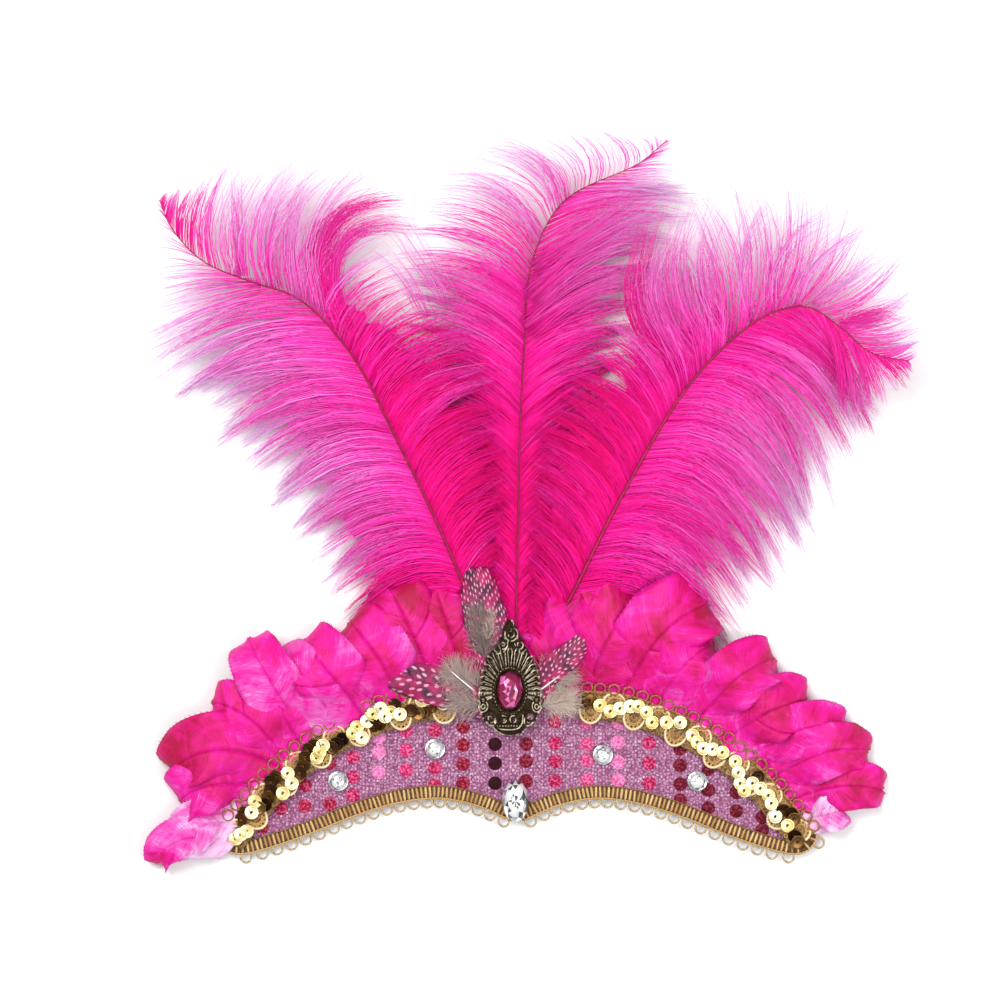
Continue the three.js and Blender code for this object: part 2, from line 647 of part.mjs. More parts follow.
function ellipse(width, length, sides, PathType) {
  const points = [];
  for (let i = 0; i < sides; i += 1) {
    const angle = (2 * Math.PI * i) / sides;
    points.push(new THREE.Vector2((width / 2) * Math.cos(angle), (length / 2) * Math.sin(angle)));
  }
  return new PathType(points);
}

// A small ring of metal round a hole, raised on the plate.
function raisedRing(x, y, outer, inner, top) {
  const shape = new THREE.Shape(polygonPath(x, y, outer, 8).getPoints());
  shape.holes.push(polygonPath(x, y, inner, 6));
  return extrude(shape, BROOCH.thick - RIB_FAN.sunk, top + RIB_FAN.sunk);
}

// Distance from the stone's middle to the plate's edge in one direction.
function plateReach(angle, outline) {
  const far = new THREE.Vector2(Math.cos(angle), Math.sin(angle));
  let reach = 0;
  for (let i = 0; i < outline.length; i += 1) {
    const a = outline[i];
    const edge = outline[(i + 1) % outline.length].clone().sub(a);
    const cross = far.cross(edge);
    if (Math.abs(cross) < 1e-9) continue;
    const along = a.cross(edge) / cross;
    const share = a.cross(far) / cross;
    if (share >= 0 && share <= 1 && along > 0) reach = Math.max(reach, along);
  }
  return reach;
}

// Pierced teardrop plate with a fan of ribs, a bezel, side loops and a scroll tray at its foot.
function brooch() {
  const right = BROOCH_HALF_OUTLINE.map((row) => new THREE.Vector2(row.half, row.y));
  const left = BROOCH_HALF_OUTLINE.map((row) => new THREE.Vector2(-row.half, row.y)).reverse();
  const outline = [...right, ...left];
  const plate = new THREE.Shape(outline);
  const rings = [];
  for (const hole of BROOCH_HOLES) {
    for (const side of [1, -1]) {
      plate.holes.push(polygonPath(side * hole.x, hole.y, hole.radius, 6));
      rings.push(raisedRing(side * hole.x, hole.y, hole.radius + HOLE_RIM, hole.radius, BROOCH.relief));
    }
  }
  const bezelWidth = BROOCH_STONE.width + 2 * (BEZEL.play + BEZEL.wall);
  const bezelLength = BROOCH_STONE.length + 2 * (BEZEL.play + BEZEL.wall);
  const bezel = ellipse(bezelWidth, bezelLength, BEZEL.sides, THREE.Shape);
  const walls = 2 * BEZEL.wall;
  bezel.holes.push(ellipse(bezelWidth - walls, bezelLength - walls, BEZEL.sides, THREE.Path));
  const rim = extrude(bezel, BROOCH.thick - RIB_FAN.sunk, BEZEL.high + RIB_FAN.sunk);
  const finial = raisedRing(0, FINIAL.y, FINIAL.outer, FINIAL.inner, BROOCH.relief);
  const ribs = broochRibs(bezelWidth / 2, bezelLength / 2, outline);
  return joined([extrude(plate, 0, BROOCH.thick), rim, scrollTray(), finial, ...rings, ...ribs]);
}

// Ribs that fan out from the bezel and stand a little past the plate's edge.
function broochRibs(bezelX, bezelY, outline) {
  const ribs = [];
  for (let i = 0; i < BROOCH.ribs; i += 1) {
    const degrees = THREE.MathUtils.lerp(RIB_FAN.from, RIB_FAN.to, i / (BROOCH.ribs - 1));
    const angle = THREE.MathUtils.degToRad(degrees);
    const start = Math.hypot(bezelX * Math.cos(angle), bezelY * Math.sin(angle)) - RIB_FAN.sunk;
    const end = plateReach(angle, outline) + RIB_FAN.over;
    const high = BROOCH.relief + RIB_FAN.sunk;
    const rib = new THREE.BoxGeometry(end - start, BROOCH.ribWide, high);
    rib.translate((start + end) / 2, 0, BROOCH.thick - RIB_FAN.sunk + high / 2);
    rib.rotateZ(angle);
    ribs.push(rib);
  }
  return ribs;
}

// The curled tray at the foot of the brooch, as a raised half ring.
function scrollTray() {
  const arc = (inset) =>
    Array.from({ length: TRAY.steps + 1 }, (_, i) => {
      const angle = Math.PI + (Math.PI * i) / TRAY.steps;
      const x = (TRAY.width / 2 - inset) * Math.cos(angle);
      return new THREE.Vector2(x, TRAY.y + (TRAY.high - inset) * Math.sin(angle));
    });
  const shape = new THREE.Shape([...arc(0), ...arc(TRAY.wall).reverse()]);
  return extrude(shape, BROOCH.thick - RIB_FAN.sunk, BROOCH.relief + RIB_FAN.sunk);
}

function named(name, geometry, material) {
  const mesh = new THREE.Mesh(geometry, material);
  mesh.name = name;
  return mesh;
}

function addStones(part) {
  const round = { width: ROUND_STONE.across, length: ROUND_STONE.across, ...ROUND_STONE };
  ROUND_STONES.forEach(({ x, y }, i) => {
    part.add(named(`round_stone_${i + 1}`, cutStone(round, x, y, ON_BOARD), CLEAR_GLASS()));
  });
  part.add(named("oval_stone", cutStone(OVAL_STONE, OVAL_STONE.x, OVAL_STONE.y, ON_BRAID), CLEAR_GLASS()));
}

function broochGroup() {
  const group = new THREE.Group();
  group.position.set(BROOCH.x, BROOCH.y, BROOCH.z);
  group.rotation.x = THREE.MathUtils.degToRad(BROOCH.tilt);
  group.add(named("brooch", brooch(), BRONZE()));
  group.add(named("brooch_stone", cutStone(BROOCH_STONE, 0, 0, BROOCH.thick + SEAT_GAP), PINK_GLASS()));
  return group;
}

function headdress() {
  const part = new THREE.Group();
  part.add(named("band", bandBoard(), SPARKLE_FABRIC()));
  part.add(named("lower_braid", lowerBraid(), GOLD_BRAID()));
  for (const [name, side, feathers] of [
    ["left", -1, GOOSE_LEFT],
    ["right", 1, GOOSE_RIGHT],
  ]) {
    part.add(named(`upper_braid_${name}`, upperBraid(side), GOLD_BRAID()));
    part.add(named(`sequin_string_${name}`, sequinString(side), GOLD_SEQUIN()));
    part.add(named(`goose_fringe_${name}`, gooseFringe(side, feathers), GOOSE()));
  }
  part.add(named("plume_left", plume(LEFT_QUILL, LEFT_VANE), OSTRICH()));
  part.add(named("plume_centre", plume(CENTRE_QUILL, CENTRE_VANE), OSTRICH()));
  part.add(named("plume_right", plume(RIGHT_QUILL, RIGHT_VANE), OSTRICH()));
  for (const row of GUINEA_FEATHERS) {
    part.add(named(`guinea_feather_${row.side}`, guineaFeather(row), GUINEA()));
  }
  addStones(part);
  part.add(broochGroup());
  return part;
}

// The finished part stands with its origin at the middle of its footprint.
const part = headdress();
part.updateMatrixWorld(true);
const box = new THREE.Box3().setFromObject(part, true);
part.position.set(-(box.min.x + box.max.x) / 2, -(box.min.y + box.max.y) / 2, -box.min.z);

export default part;
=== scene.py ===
"""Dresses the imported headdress: plumes, feather fringe, braids, sequins, stones and brooch."""

import math

import bpy
import numpy as np
from mathutils import Matrix, Vector


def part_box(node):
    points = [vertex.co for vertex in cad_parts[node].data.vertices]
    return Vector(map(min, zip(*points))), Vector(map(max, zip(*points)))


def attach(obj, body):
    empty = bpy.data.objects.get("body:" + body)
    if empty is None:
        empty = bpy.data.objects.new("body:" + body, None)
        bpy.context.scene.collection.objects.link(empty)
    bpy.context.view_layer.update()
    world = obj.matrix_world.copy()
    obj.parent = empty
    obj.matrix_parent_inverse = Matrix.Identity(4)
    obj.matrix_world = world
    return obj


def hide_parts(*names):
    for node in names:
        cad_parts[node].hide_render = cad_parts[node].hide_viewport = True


bl_info = {
    "name": "Carnival feather headdress",
    "version": (1, 0, 0),
    "blender": (4, 5, 0),
    "location": "3D view > Sidebar > Headdress",
    "description": "Makes the feathers, trims, stones and brooch of a carnival headdress",
    "category": "Object",
}

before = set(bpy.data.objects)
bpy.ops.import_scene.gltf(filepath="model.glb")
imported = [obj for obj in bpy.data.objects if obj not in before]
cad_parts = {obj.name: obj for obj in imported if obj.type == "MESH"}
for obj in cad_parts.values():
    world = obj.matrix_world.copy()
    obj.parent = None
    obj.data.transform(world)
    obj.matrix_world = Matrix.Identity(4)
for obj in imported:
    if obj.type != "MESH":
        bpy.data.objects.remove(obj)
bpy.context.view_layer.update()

MM = 0.001
# Lengths below are in millimetres from the floor under the band's middle point, as the part was drawn.
OVAL_MIDDLE = Vector((0.2, 9.6, 0))
STONE_LOW, STONE_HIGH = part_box("oval_stone")
SHIFT = np.array([(STONE_LOW.x + STONE_HIGH.x) / 2, (STONE_LOW.y + STONE_HIGH.y) / 2, 0])
SHIFT -= np.array(OVAL_MIDDLE) * MM

AXIS_X = 1
PATH_STEPS = 24

# The band's edges: distance out from its middle line, height y.
BAND_LOWER_EDGE = (
    (0, 6), (5, 8.2), (10, 10.6), (19, 13.8), (35, 16.6), (55, 14.4), (76, 8), (92, 1.6), (106, -3.6),
    (120, -7.7),
)
# Where the lower braid runs on past the fabric, on to the end of the gimp.
BRAID_END = ((124.5, -8.4), (127.4, -7.9), (128.8, -5.8), (129, -3))
GIMP_ROUTE = (
    (28, 53), (46, 51.5), (61, 47), (77.5, 39.6), (92.5, 30.4), (106.5, 18.6), (118, 5.8), (129, -8.5)
)

# Levels of the layers above the floor.
FLOOR_GAP = 0.05
BOARD_TOP = 3.0
BRAID_LOW = 3.3
GIMP_LOW = 4.8
SEQUIN_LOW = 6.5

# Ostrich quills: x, y, z from root to tip.
LEFT_QUILL = (
    (-7, 52, 5), (-14, 81, 6.2), (-29, 121, 11), (-52, 170, 15.5), (-74, 211, 17.5), (-97, 235, 18.5),
    (-119, 243, 19.5), (-140, 252, 22), (-154, 267, 28), (-159, 279, 34),
)
CENTRE_QUILL = (
    (-1, 52, 5), (1, 113, 5.2), (2, 168, 5.6), (4, 212, 7), (8, 253, 11), (22, 279, 16), (56, 296, 25),
    (68, 306, 31),
)
RIGHT_QUILL = (
    (7, 52, 5), (15, 80, 6.2), (29, 109, 10), (47, 145, 13.5), (74, 191, 16.5), (92, 212, 17.5),
    (113, 228, 19),
    (131, 231.5, 21), (146, 222, 24), (159, 211, 28), (176, 207, 33),
)
# Vanes: share of the quill's length, then reach, lean from the quill in degrees and tip height of the barbs
# on its left side, and the same three on its right side.
LEFT_VANE = np.array((
    (0.02, 18, 80, 4, 12, 60, 6), (0.1, 36, 86, 2.5, 17, 60, 6.5), (0.18, 50, 90, 1, 25, 62, 7.5),
    (0.25, 57, 88, 0.6, 35, 70, 9), (0.32, 60, 84, 0.6, 44, 76, 10), (0.44, 66, 82, 0.6, 52, 82, 12),
    (0.52, 79, 76, 0.6, 52, 84, 13), (0.6, 84, 71, 0.6, 47, 84, 14), (0.67, 85, 63, 1.5, 48, 88, 15),
    (0.73, 75, 46, 4, 68, 98, 15), (0.79, 53, 30, 8, 68, 94, 13), (0.86, 29, 20, 14, 52, 74, 13),
    (0.93, 14, 16, 24, 26, 50, 20), (1, 2.5, 20, 33, 3, 40, 33),
))
CENTRE_VANE = np.array((
    (0.02, 12, 60, 4, 12, 60, 4), (0.1, 19, 55, 3, 19, 55, 3), (0.2, 30, 52, 2, 30, 50, 2),
    (0.4, 51, 62, 1, 53, 58, 1),
    (0.56, 61, 71, 1, 59, 68, 1), (0.64, 64, 76, 2, 66, 71, 2), (0.7, 64, 83, 3.5, 78, 66, 3),
    (0.76, 57, 95, 6, 76, 53, 5), (0.82, 45, 104, 10, 53, 37, 9), (0.88, 32, 104, 17, 35, 24, 16),
    (0.95, 16, 95, 26, 15, 18, 25), (1, 3, 60, 30, 2.5, 25, 30),
))
RIGHT_VANE = np.array((
    (0.02, 12, 60, 6, 30, 84, 4), (0.09, 18, 60, 6.5, 57, 91, 2), (0.15, 30, 60, 7, 71, 92, 1),
    (0.27, 46, 70, 9.5, 78, 95, 0.6), (0.36, 52, 76, 11, 82, 98, 0.6), (0.45, 51, 77, 12.5, 86, 102, 0.6),
    (0.54, 47, 73, 14, 88, 103, 0.6), (0.61, 54, 64, 15, 88, 96, 1), (0.66, 73, 62, 13, 84, 86, 2),
    (0.71, 72, 56, 13, 78, 78, 5), (0.75, 62, 57, 14, 70, 72, 7), (0.81, 52, 60, 17, 60, 58, 12),
    (0.87, 42, 64, 22, 42, 32, 20), (0.94, 23, 40, 28, 22, 24, 28), (1, 3, 30, 32, 3, 30, 32),
))
PLUMES = {
    "left": (LEFT_QUILL, LEFT_VANE),
    "centre": (CENTRE_QUILL, CENTRE_VANE),
    "right": (RIGHT_QUILL, RIGHT_VANE),
}
# How far the barbs pale towards their ends, a painted light that the thin barbs let through: share of the
# quill, then its left and right side.
PLUME_FADES = {
    "left": (
        (0, 0.05, 0.03), (0.2, 0.35, 0.05), (0.38, 1, 0.08), (0.6, 1.1, 0.5), (0.7, 1.2, 1.1),
        (0.82, 1.35, 1.3),
        (0.9, 1.2, 0.75), (1, 1.2, 0.6),
    ),
    "centre": (
        (0, 0.03, 0.03), (0.36, 0.1, 0.14), (0.5, 0.5, 0.55), (0.62, 0.9, 0.9), (0.74, 1.1, 1),
        (0.82, 1.25, 1.15),
        (1, 1.3, 1.3),
    ),
    "right": (
        (0, 0.03, 0.25), (0.4, 0.12, 0.75), (0.55, 0.5, 0.9), (0.66, 1, 0.85), (0.75, 1.1, 0.5),
        (0.82, 1.25, 0.55),
        (0.92, 1.1, 0.7), (1, 1, 0.7),
    ),
}
VANE_FROM = 0.03
VANE_CURVE = 1.6
# How thickly the barbs stand on the left and right side: share of the quill, then crowding.
PLUME_CROWDS = {
    "left": (
        (0.03, 1.1, 0.9), (0.5, 1.25, 1), (0.6, 1.1, 0.26), (0.7, 0.42, 0.2), (0.8, 0.11, 0.16),
        (0.86, 0.08, 0.2),
        (0.93, 0.06, 0.45), (1, 0.06, 0.3),
    ),
    "centre": (
        (0.03, 0.8, 0.8), (0.5, 0.95, 0.95), (0.6, 0.42, 0.7), (0.68, 0.2, 0.5), (0.78, 0.12, 0.42),
        (0.88, 0.1, 0.22),
        (1, 0.1, 0.12),
    ),
    "right": (
        (0.03, 0.8, 1.1), (0.5, 0.9, 1.1), (0.6, 0.32, 1.1), (0.72, 0.22, 1.05), (0.82, 0.24, 1.0),
        (0.9, 0.42, 0.9),
        (1, 0.3, 0.6),
    ),
}
# Tables with a column for each side of a plume.
SIDED = (PLUME_FADES, PLUME_CROWDS)
# Wisps of barbs that leave the vanes' run: plume, number, spread at root and tip, tone at root and tip (a
# higher tone is paler, painted light through thin barbs), then the points x, y, z of the line that they
# follow.
WISPS = (
    ("left", 190, 4, 6, 0.12, 0.35, ((-71.5, 211.5, 15), (-78.8, 225.0, 17), (-84.6, 238.5, 18),
     (-87.3, 252.0, 18), (-84.6, 264.6, 18), (-76.5, 273.6, 18), (-63.5, 278.1, 17), (-48.1, 279.4, 15))),
    ("left", 120, 3, 7, 0.15, 0.5, ((-74.2, 219.2, 16), (-81.5, 239.4, 18), (-80.1, 256.5, 19),
     (-69.8, 266.4, 19), (-54.9, 269.1, 18), (-40.1, 267.3, 16))),
    ("left", 60, 4, 8, 0.5, 0.85, ((-97.7, 234.9, 18), (-101.2, 257.4, 18), (-97.7, 277.7, 16),
     (-87.8, 295.2, 12))),
    ("left", 60, 4, 8, 0.4, 0.8, ((-86.9, 229.5, 18), (-91.4, 257.4, 18), (-79.7, 282.2, 16),
     (-59.0, 297.0, 12))),
    ("left", 52, 4, 8, 0.5, 0.9, ((-109.4, 239.8, 18), (-112.0, 261.9, 17), (-105.8, 282.2, 15),
     (-93.2, 297.0, 11))),
    ("left", 44, 4, 6, 0.4, 0.8, ((-123.8, 245.2, 18), (-125.1, 264.2, 17), (-126.5, 280.8, 15),
     (-127.4, 295.2, 13))),
    ("left", 26, 3, 5, 0.4, 0.9, ((-113.9, 241.7, 18), (-127.4, 241.7, 12), (-144.0, 240.3, 8),
     (-159.8, 234.9, 5))),
    ("left", 20, 5, 10, 0.5, 0.9, ((-40.5, 225.9, 12), (-50.9, 243.0, 14), (-61.6, 253.8, 15),
     (-73.4, 258.3, 15))),
    ("left", 20, 5, 10, 0.5, 0.9, ((-30.2, 234.9, 12), (-42.8, 253.8, 14), (-52.6, 267.3, 15),
     (-64.4, 274.5, 14))),
    ("centre", 110, 5, 10, 0.25, 0.7, ((6.8, 234.9, 10), (27.0, 252.0, 12), (47.2, 262.8, 12),
     (67.0, 268.2, 9))),
    ("centre", 110, 5, 10, 0.25, 0.7, ((8.6, 247.5, 11), (30.2, 261.9, 13), (50.9, 274.5, 13),
     (70.2, 284.4, 10))),
    ("centre", 110, 5, 10, 0.2, 0.65, ((5.4, 221.4, 9), (29.2, 238.5, 11), (48.1, 245.7, 11),
     (66.2, 252.0, 8))),
    ("centre", 36, 4, 8, 0.5, 0.9, ((11.7, 261.9, 12), (-2.2, 279.9, 14), (-20.2, 288.9, 13),
     (-38.2, 288.0, 9))),
    ("centre", 30, 4, 8, 0.5, 0.9, ((20.2, 274.5, 14), (13.5, 291.2, 16), (-2.2, 301.5, 15),
     (-20.2, 299.7, 10))),
    ("right", 150, 5, 9, 0.2, 0.65, ((84.2, 201.6, 15), (68.9, 221.4, 17), (63.0, 243.9, 17),
     (70.7, 268.2, 13))),
    ("right", 130, 6, 9, 0.12, 0.4, ((79, 200, 14), (62, 216, 15), (54, 236, 15), (58, 258, 13),
     (64, 276, 10))),
    ("right", 110, 5, 9, 0.25, 0.75, ((90.5, 208.8, 16), (77.0, 230.4, 18), (73.4, 255.2, 18),
     (81.9, 280.8, 14))),
    ("right", 50, 5, 8, 0.35, 0.8, ((96.8, 215.6, 16), (86.9, 238.5, 18), (86.0, 261.9, 18),
     (93.2, 283.5, 14))),
    ("right", 40, 4, 8, 0.45, 0.85, ((106.7, 223.2, 17), (101.2, 243.9, 19), (105.8, 265.5, 19),
     (118.4, 285.3, 15))),
    ("right", 40, 4, 8, 0.45, 0.85, ((115.7, 228.6, 18), (117.0, 248.4, 20), (128.2, 265.5, 20),
     (149.0, 276.3, 16))),
    ("right", 34, 4, 8, 0.5, 0.9, ((123.8, 230.8, 19), (131.8, 248.4, 21), (146.2, 261.9, 22),
     (163.8, 272.2, 20))),
    ("right", 60, 4, 9, 0.2, 0.5, ((146, 222, 22), (156, 226, 25), (166, 228, 28), (174, 226, 30))),
    ("right", 34, 3, 7, 0.5, 0.9, ((133.7, 231.8, 20), (146.2, 241.7, 23), (160.7, 250.2, 25),
     (173.2, 254.7, 26))),
)

# Goose feathers, those behind first: root x, y, tip x, y, width, bow and hook of the quill in degrees, height
# of its arch, curl down at its tip in degrees, tone at root and tip from 0 (crimson, painted shade where the
# feather curls away from the light) to 1 (pale lilac).
GOOSE_LEFT = (
    (-20.2, 54.9, -35.6, 105.3, 37.8, 0, 0, 7, 35, 0.12, 0.0),
    (-33.8, 52.6, -56.2, 104.4, 35.1, -3, 0, 9, 50, 0.2, 0.0),
    (-48.1, 48.1, -74.2, 90.0, 33.3, -3, 10, 12, 60, 0.32, 0.06),
    (-64.4, 42.3, -95.0, 81.9, 33.3, -3, -10, 14, 60, 0.45, 0.15),
    (-76.5, 36.9, -106.7, 76.5, 27.0, -4, 10, 13, 65, 0.5, 0.3),
    (-87.8, 34.6, -119.6, 83.0, 28.8, 3, -10, 15, 55, 0.55, 0.25),
    (-94.5, 27.9, -123.8, 63.0, 26.1, -8, 30, 11, 75, 0.4, 0.0),
    (-101.2, 23.4, -136.3, 54.0, 27.0, -10, 20, 12, 60, 0.35, 0.1),
    (-102.2, 21.2, -153.2, 23.6, 34.0, -18, 20, 13, 60, 0.25, 0.0),
    (-113.9, 13.5, -150.6, 9.6, 29.7, -16, 10, 10, 60, 0.42, 0.1),
    (-123.8, -0.9, -149.0, -6.3, 24.3, -14, 0, 7, 60, 0.75, 0.45),
    (-125.5, -9.0, -160.6, -18.2, 20.5, -10, 60, 7, 75, 0.9, 0.1),
)
GOOSE_RIGHT = (
    (14.8, 54.9, 36.5, 104.4, 37.8, 0, 0, 7, 35, 0.08, 0.0),
    (29.2, 54.0, 54.5, 100.8, 39.6, 3, -10, 9, 45, 0.12, 0.0),
    (45.0, 52.2, 86.0, 98.1, 40.5, 4, -30, 12, 60, 0.25, 0.0),
    (60.8, 46.8, 89.5, 80.1, 29.7, 4, -30, 11, 60, 0.34, 0.08),
    (78.8, 40.5, 117.0, 73.4, 29.0, 5, -30, 15, 65, 0.34, 0.05),
    (90.0, 33.3, 131.0, 54.9, 30.6, 4, -20, 12, 60, 0.25, 0.0),
    (101.2, 27.0, 147.4, 44.4, 24.5, 5, -20, 10, 50, 0.4, 0.15),
    (112.5, 18.0, 158.4, 32.2, 26.0, 5, -30, 10, 60, 0.35, 0.0),
    (122.0, 9.0, 165.0, 14.8, 24.0, 8, -10, 7, 50, 0.25, 0.0),
    (129.2, 0.9, 147.2, 5.4, 17.0, 0, 0, 5, 30, 0.85, 0.5),
)

# Spotted guinea feathers: root x, y, tip x, y, width, bow, arch, spots to a millimetre across and along.
GUINEA_FEATHERS = {
    "left": (-9.0, 52.6, -59.0, 67.5, 18, -2, 3, 0.24, 0.23),
    "top": (-5.0, 63.9, -17.6, 112.5, 20, 2, 6, 0.55, 0.3),
    "right": (4.5, 52.6, 32.9, 83.7, 13, 3, 4.5, 0.4, 0.36),
}
GUINEA_ROOT_Z = 8.8
# Clumps of undyed down: x, y of both ends of their line, reach of the strands, level, rise along the line,
# strands, tone.
FLUFF = (
    (-14.8, 59.4, -27.5, 66.5, 17, 8.8, 2, 800, 0.5),
    (-14.0, 52.2, -27.5, 54.0, 13, 9.4, 2, 420, 0.4),
    (-13.4, 74.0, -17.0, 95.0, 11, 12.3, 2.4, 860, 0.14),
    (-12.5, 82.0, -10.5, 94.0, 6.5, 14.0, 1, 200, 0.6),
    (10.4, 59.4, 21.2, 66.5, 17, 8.6, 2, 780, 0.5),
    (11.2, 52.2, 24.5, 54.6, 14, 9.2, 2, 420, 0.8),
)
# White bare quills that show on the down: x, y of both ends.
BARE_QUILLS = (((-18.4, 59.4), (-28.8, 68.0)), ((11.7, 59.9), (20.2, 66.2)))

# Sequins with a painted highlight on each side: x, y. Sequins with a painted dark reflection fill the rest of
# the string; all are of one gold.
HIGHLIT_LEFT = (
    (-125.5, -7.2), (-123.3, -5.4), (-120.6, -4.0), (-118.4, 4.5), (-117.0, 9.5), (-104.4, 13.1),
    (-102.2, 22.1), (-100.4, 17.6), (-89.1, 29.2), (-87.8, 31.9), (-86.4, 34.6), (-72.9, 40.1),
    (-71.1, 42.8), (-68.9, 38.2), (-66.6, 45.5), (-63.9, 48.6), (-60.3, 51.3), (-58.5, 47.7), (-55.8, 49.5),
    (-51.8, 48.6), (-41.9, 54.9), (-39.1, 55.8), (-36.5, 56.7), (-32.4, 53.6),
)
HIGHLIT_RIGHT = (
    (38.2, 52.6), (42.8, 50.0), (47.2, 51.3), (51.8, 52.2), (55.4, 52.2), (59.0, 49.5), (61.6, 45.0),
    (68.0, 45.0), (74.2, 45.0), (79.7, 39.1), (81.9, 36.0), (84.6, 33.3), (88.7, 32.9), (93.2, 31.5),
    (99.0, 27.4), (100.4, 22.5), (101.2, 17.6), (103.0, 14.4), (106.7, 17.6), (110.2, 15.3), (113.9, 12.2),
    (115.2, 8.6), (117.0, 2.7), (122.4, -1.4),
)

BROOCH = {"x": -2.3, "y": 59.4, "z": 9.6, "tilt": 3.5, "thick": 1.4}
# Edge of the brooch, with its own middle at the stone: height y, half width.
BROOCH_EDGE = (
    (31.5, 0.9), (28.5, 3), (25, 3.4), (22.5, 5.6), (17.5, 8.4), (12, 11), (3, 12.9), (-7, 13.2),
    (-13.5, 11.6), (-15.5, 8), (-19.3, 5),
)
# Wire loops on the brooch: x, y from the stone's middle, half width, half height, level above the plate, turn
# (side loops only) and radius of the wire. The side loops stand on both sides.
CREST_LOOPS = (
    (0.6, 25.4, 2.9, 3.1, 0.1, 0.34), (0.7, 29.4, 1.0, 1.7, 0.1, 0.28), (0.6, 25.4, 1.3, 1.4, 0.3, 0.3)
)
SIDE_LOOPS = (
    (12.0, -1.4, 2.0, 2.5, 0.1, 0.2, 0.34), (12.0, -1.4, 0.8, 1.1, 0.2, 0.2, 0.26),
    (12.0, -7.2, 2.0, 2.5, 0.1, 0.2, 0.34), (12.0, -7.2, 0.8, 1.1, 0.2, 0.2, 0.26),
    (8.7, -13.0, 2.1, 3.1, 0.1, -0.45, 0.34), (8.7, -13.0, 0.9, 1.6, 0.2, -0.45, 0.26),
)
# Wires that frame the tray under the stone: points, radius, steps.
TRAY_WIRES = (
    (((-7.2, -10.6), (-6.8, -14.8), (-5.2, -17), (3.8, -17), (5.4, -14.8), (5.8, -10.6)), 0.36, 32),
    (((-8.4, -15.4), (-5, -18.7), (-0.6, -19.6), (3.8, -18.7), (7.2, -15.4)), 0.4, 26),
)
ROUND_STONES = ((-79.5, 18.5), (-36, 33), (39.5, 30.3), (82, 18.5))

# Columns of foil dots on the fabric: x of the column, then heights y of its dots.
FOIL_DOTS = (
    (-113.8, (-2.2,)), (-105.3, (6.3,)), (-94.5, (16.6, 7.2)), (-83.3, (26.5, 8.1)),
    (-72.9, (29.2, 20.3, 12.1)),
    (-61.2, (38.2, 31.5, 22.5)), (-49, (41, 32.4, 23.4)), (-36, (41.4, 24.3, 16.6)),
    (-23.4, (42.8, 34.7, 26.1, 17.5)), (-9, (35.1, 26.5, 17.5)), (5, (35.1, 27.4, 18.5)),
    (18, (45.4, 35.6, 27.4, 18.5)), (32.4, (45, 35.1, 18.9, 27.9)), (46.4, (45, 36, 27, 18.9)),
    (60.3, (35.6, 26.5, 17.5)), (74.3, (32.9, 25.6, 17.1, 9.9)), (86.9, (23.8, 14.4, 6.3)),
    (99.5, (13.5, 5)), (111.2, (2.3, -3.6)),
)
# Tone of the foil, 0 (maroon) to 1 (pale), by distance out from the middle: left side, then right side.
FOIL_TONES = (
    ((9, 23, 36, 49, 61, 73, 83), (0.0, 0.28, 0.5, 0.68, 0.95, 0.55, 0.4)),
    ((5, 18, 32, 46, 60, 74, 78), (0.2, 0.5, 0.72, 0.92, 0.55, 0.16, 0.13)),
)

# Trims: distance from one to the next along its line.
BAR_PITCH = 2.0
LOWER_PICOT_PITCH = 6.5
UPPER_PICOT_PITCH = 5.6
SHELL_PITCH = 21
SEQUIN_PITCH = 3.1
LOOSE_CURLS = 130
# Sequins with a painted dark reflection stay this far from those with a painted highlight.
HIGHLIT_REACH = 3.4
STRIP_THICK = 0.5
# Points on the long cords of a braid.
CORD_STEPS = np.linspace(0, 1, 160)
# Wisps that each side of a plume's barbs gather into, and rings of points on a barb.
LOCKS = 62
BARB_RINGS = 6


def linear(colour):
    """The linear colour of an sRGB hex value."""
    values = [int(colour[i : i + 2], 16) / 255 for i in (0, 2, 4)]
    return tuple(v / 12.92 if v <= 0.04045 else ((v + 0.055) / 1.055) ** 2.4 for v in values)


def rgba(colour):
    """Four linear values from an sRGB hex value, a grey level or a colour property."""
    if isinstance(colour, str):
        colour = linear(colour)
    elif isinstance(colour, float):
        colour = (colour,) * 3
    return (*colour, 1)


def to_frame(points):
    return np.asarray(points, float) * MM + SHIFT


def unit(vectors):
    """Vectors of length one."""
    return vectors / (np.linalg.norm(vectors, axis=-1, keepdims=True) + 1e-9)


def run_of(line):
    """How far along a line each of its points lies."""
    return np.concatenate(([0], np.cumsum(np.linalg.norm(np.diff(line, axis=0), axis=1))))


def read_line(line, run, at):
    """Points of a line at the places given by at, where run gives the places of its own points."""
    return np.stack([np.interp(at, run, column) for column in line.T], -1)


def middles(count):
    """The middles of equal shares of a line."""
    return (np.arange(count) + 0.5) / count


def ring_faces(rings, sides):
    """Corners and sizes of a closed tube's faces: four-cornered ones between the rings, one at each end."""
    ring = np.arange(rings - 1)[:, None] * sides
    k = np.arange(sides)[None, :]
    following = (k + 1) % sides
    walls = np.stack((ring + k, ring + sides + k, ring + sides + following, ring + following), axis=-1)
    ends = (np.arange(sides), (rings - 1) * sides + np.arange(sides)[::-1])
    return np.concatenate((walls.reshape(-1), *ends)), np.append(
        np.full((rings - 1) * sides, 4), (sides, sides)
    )


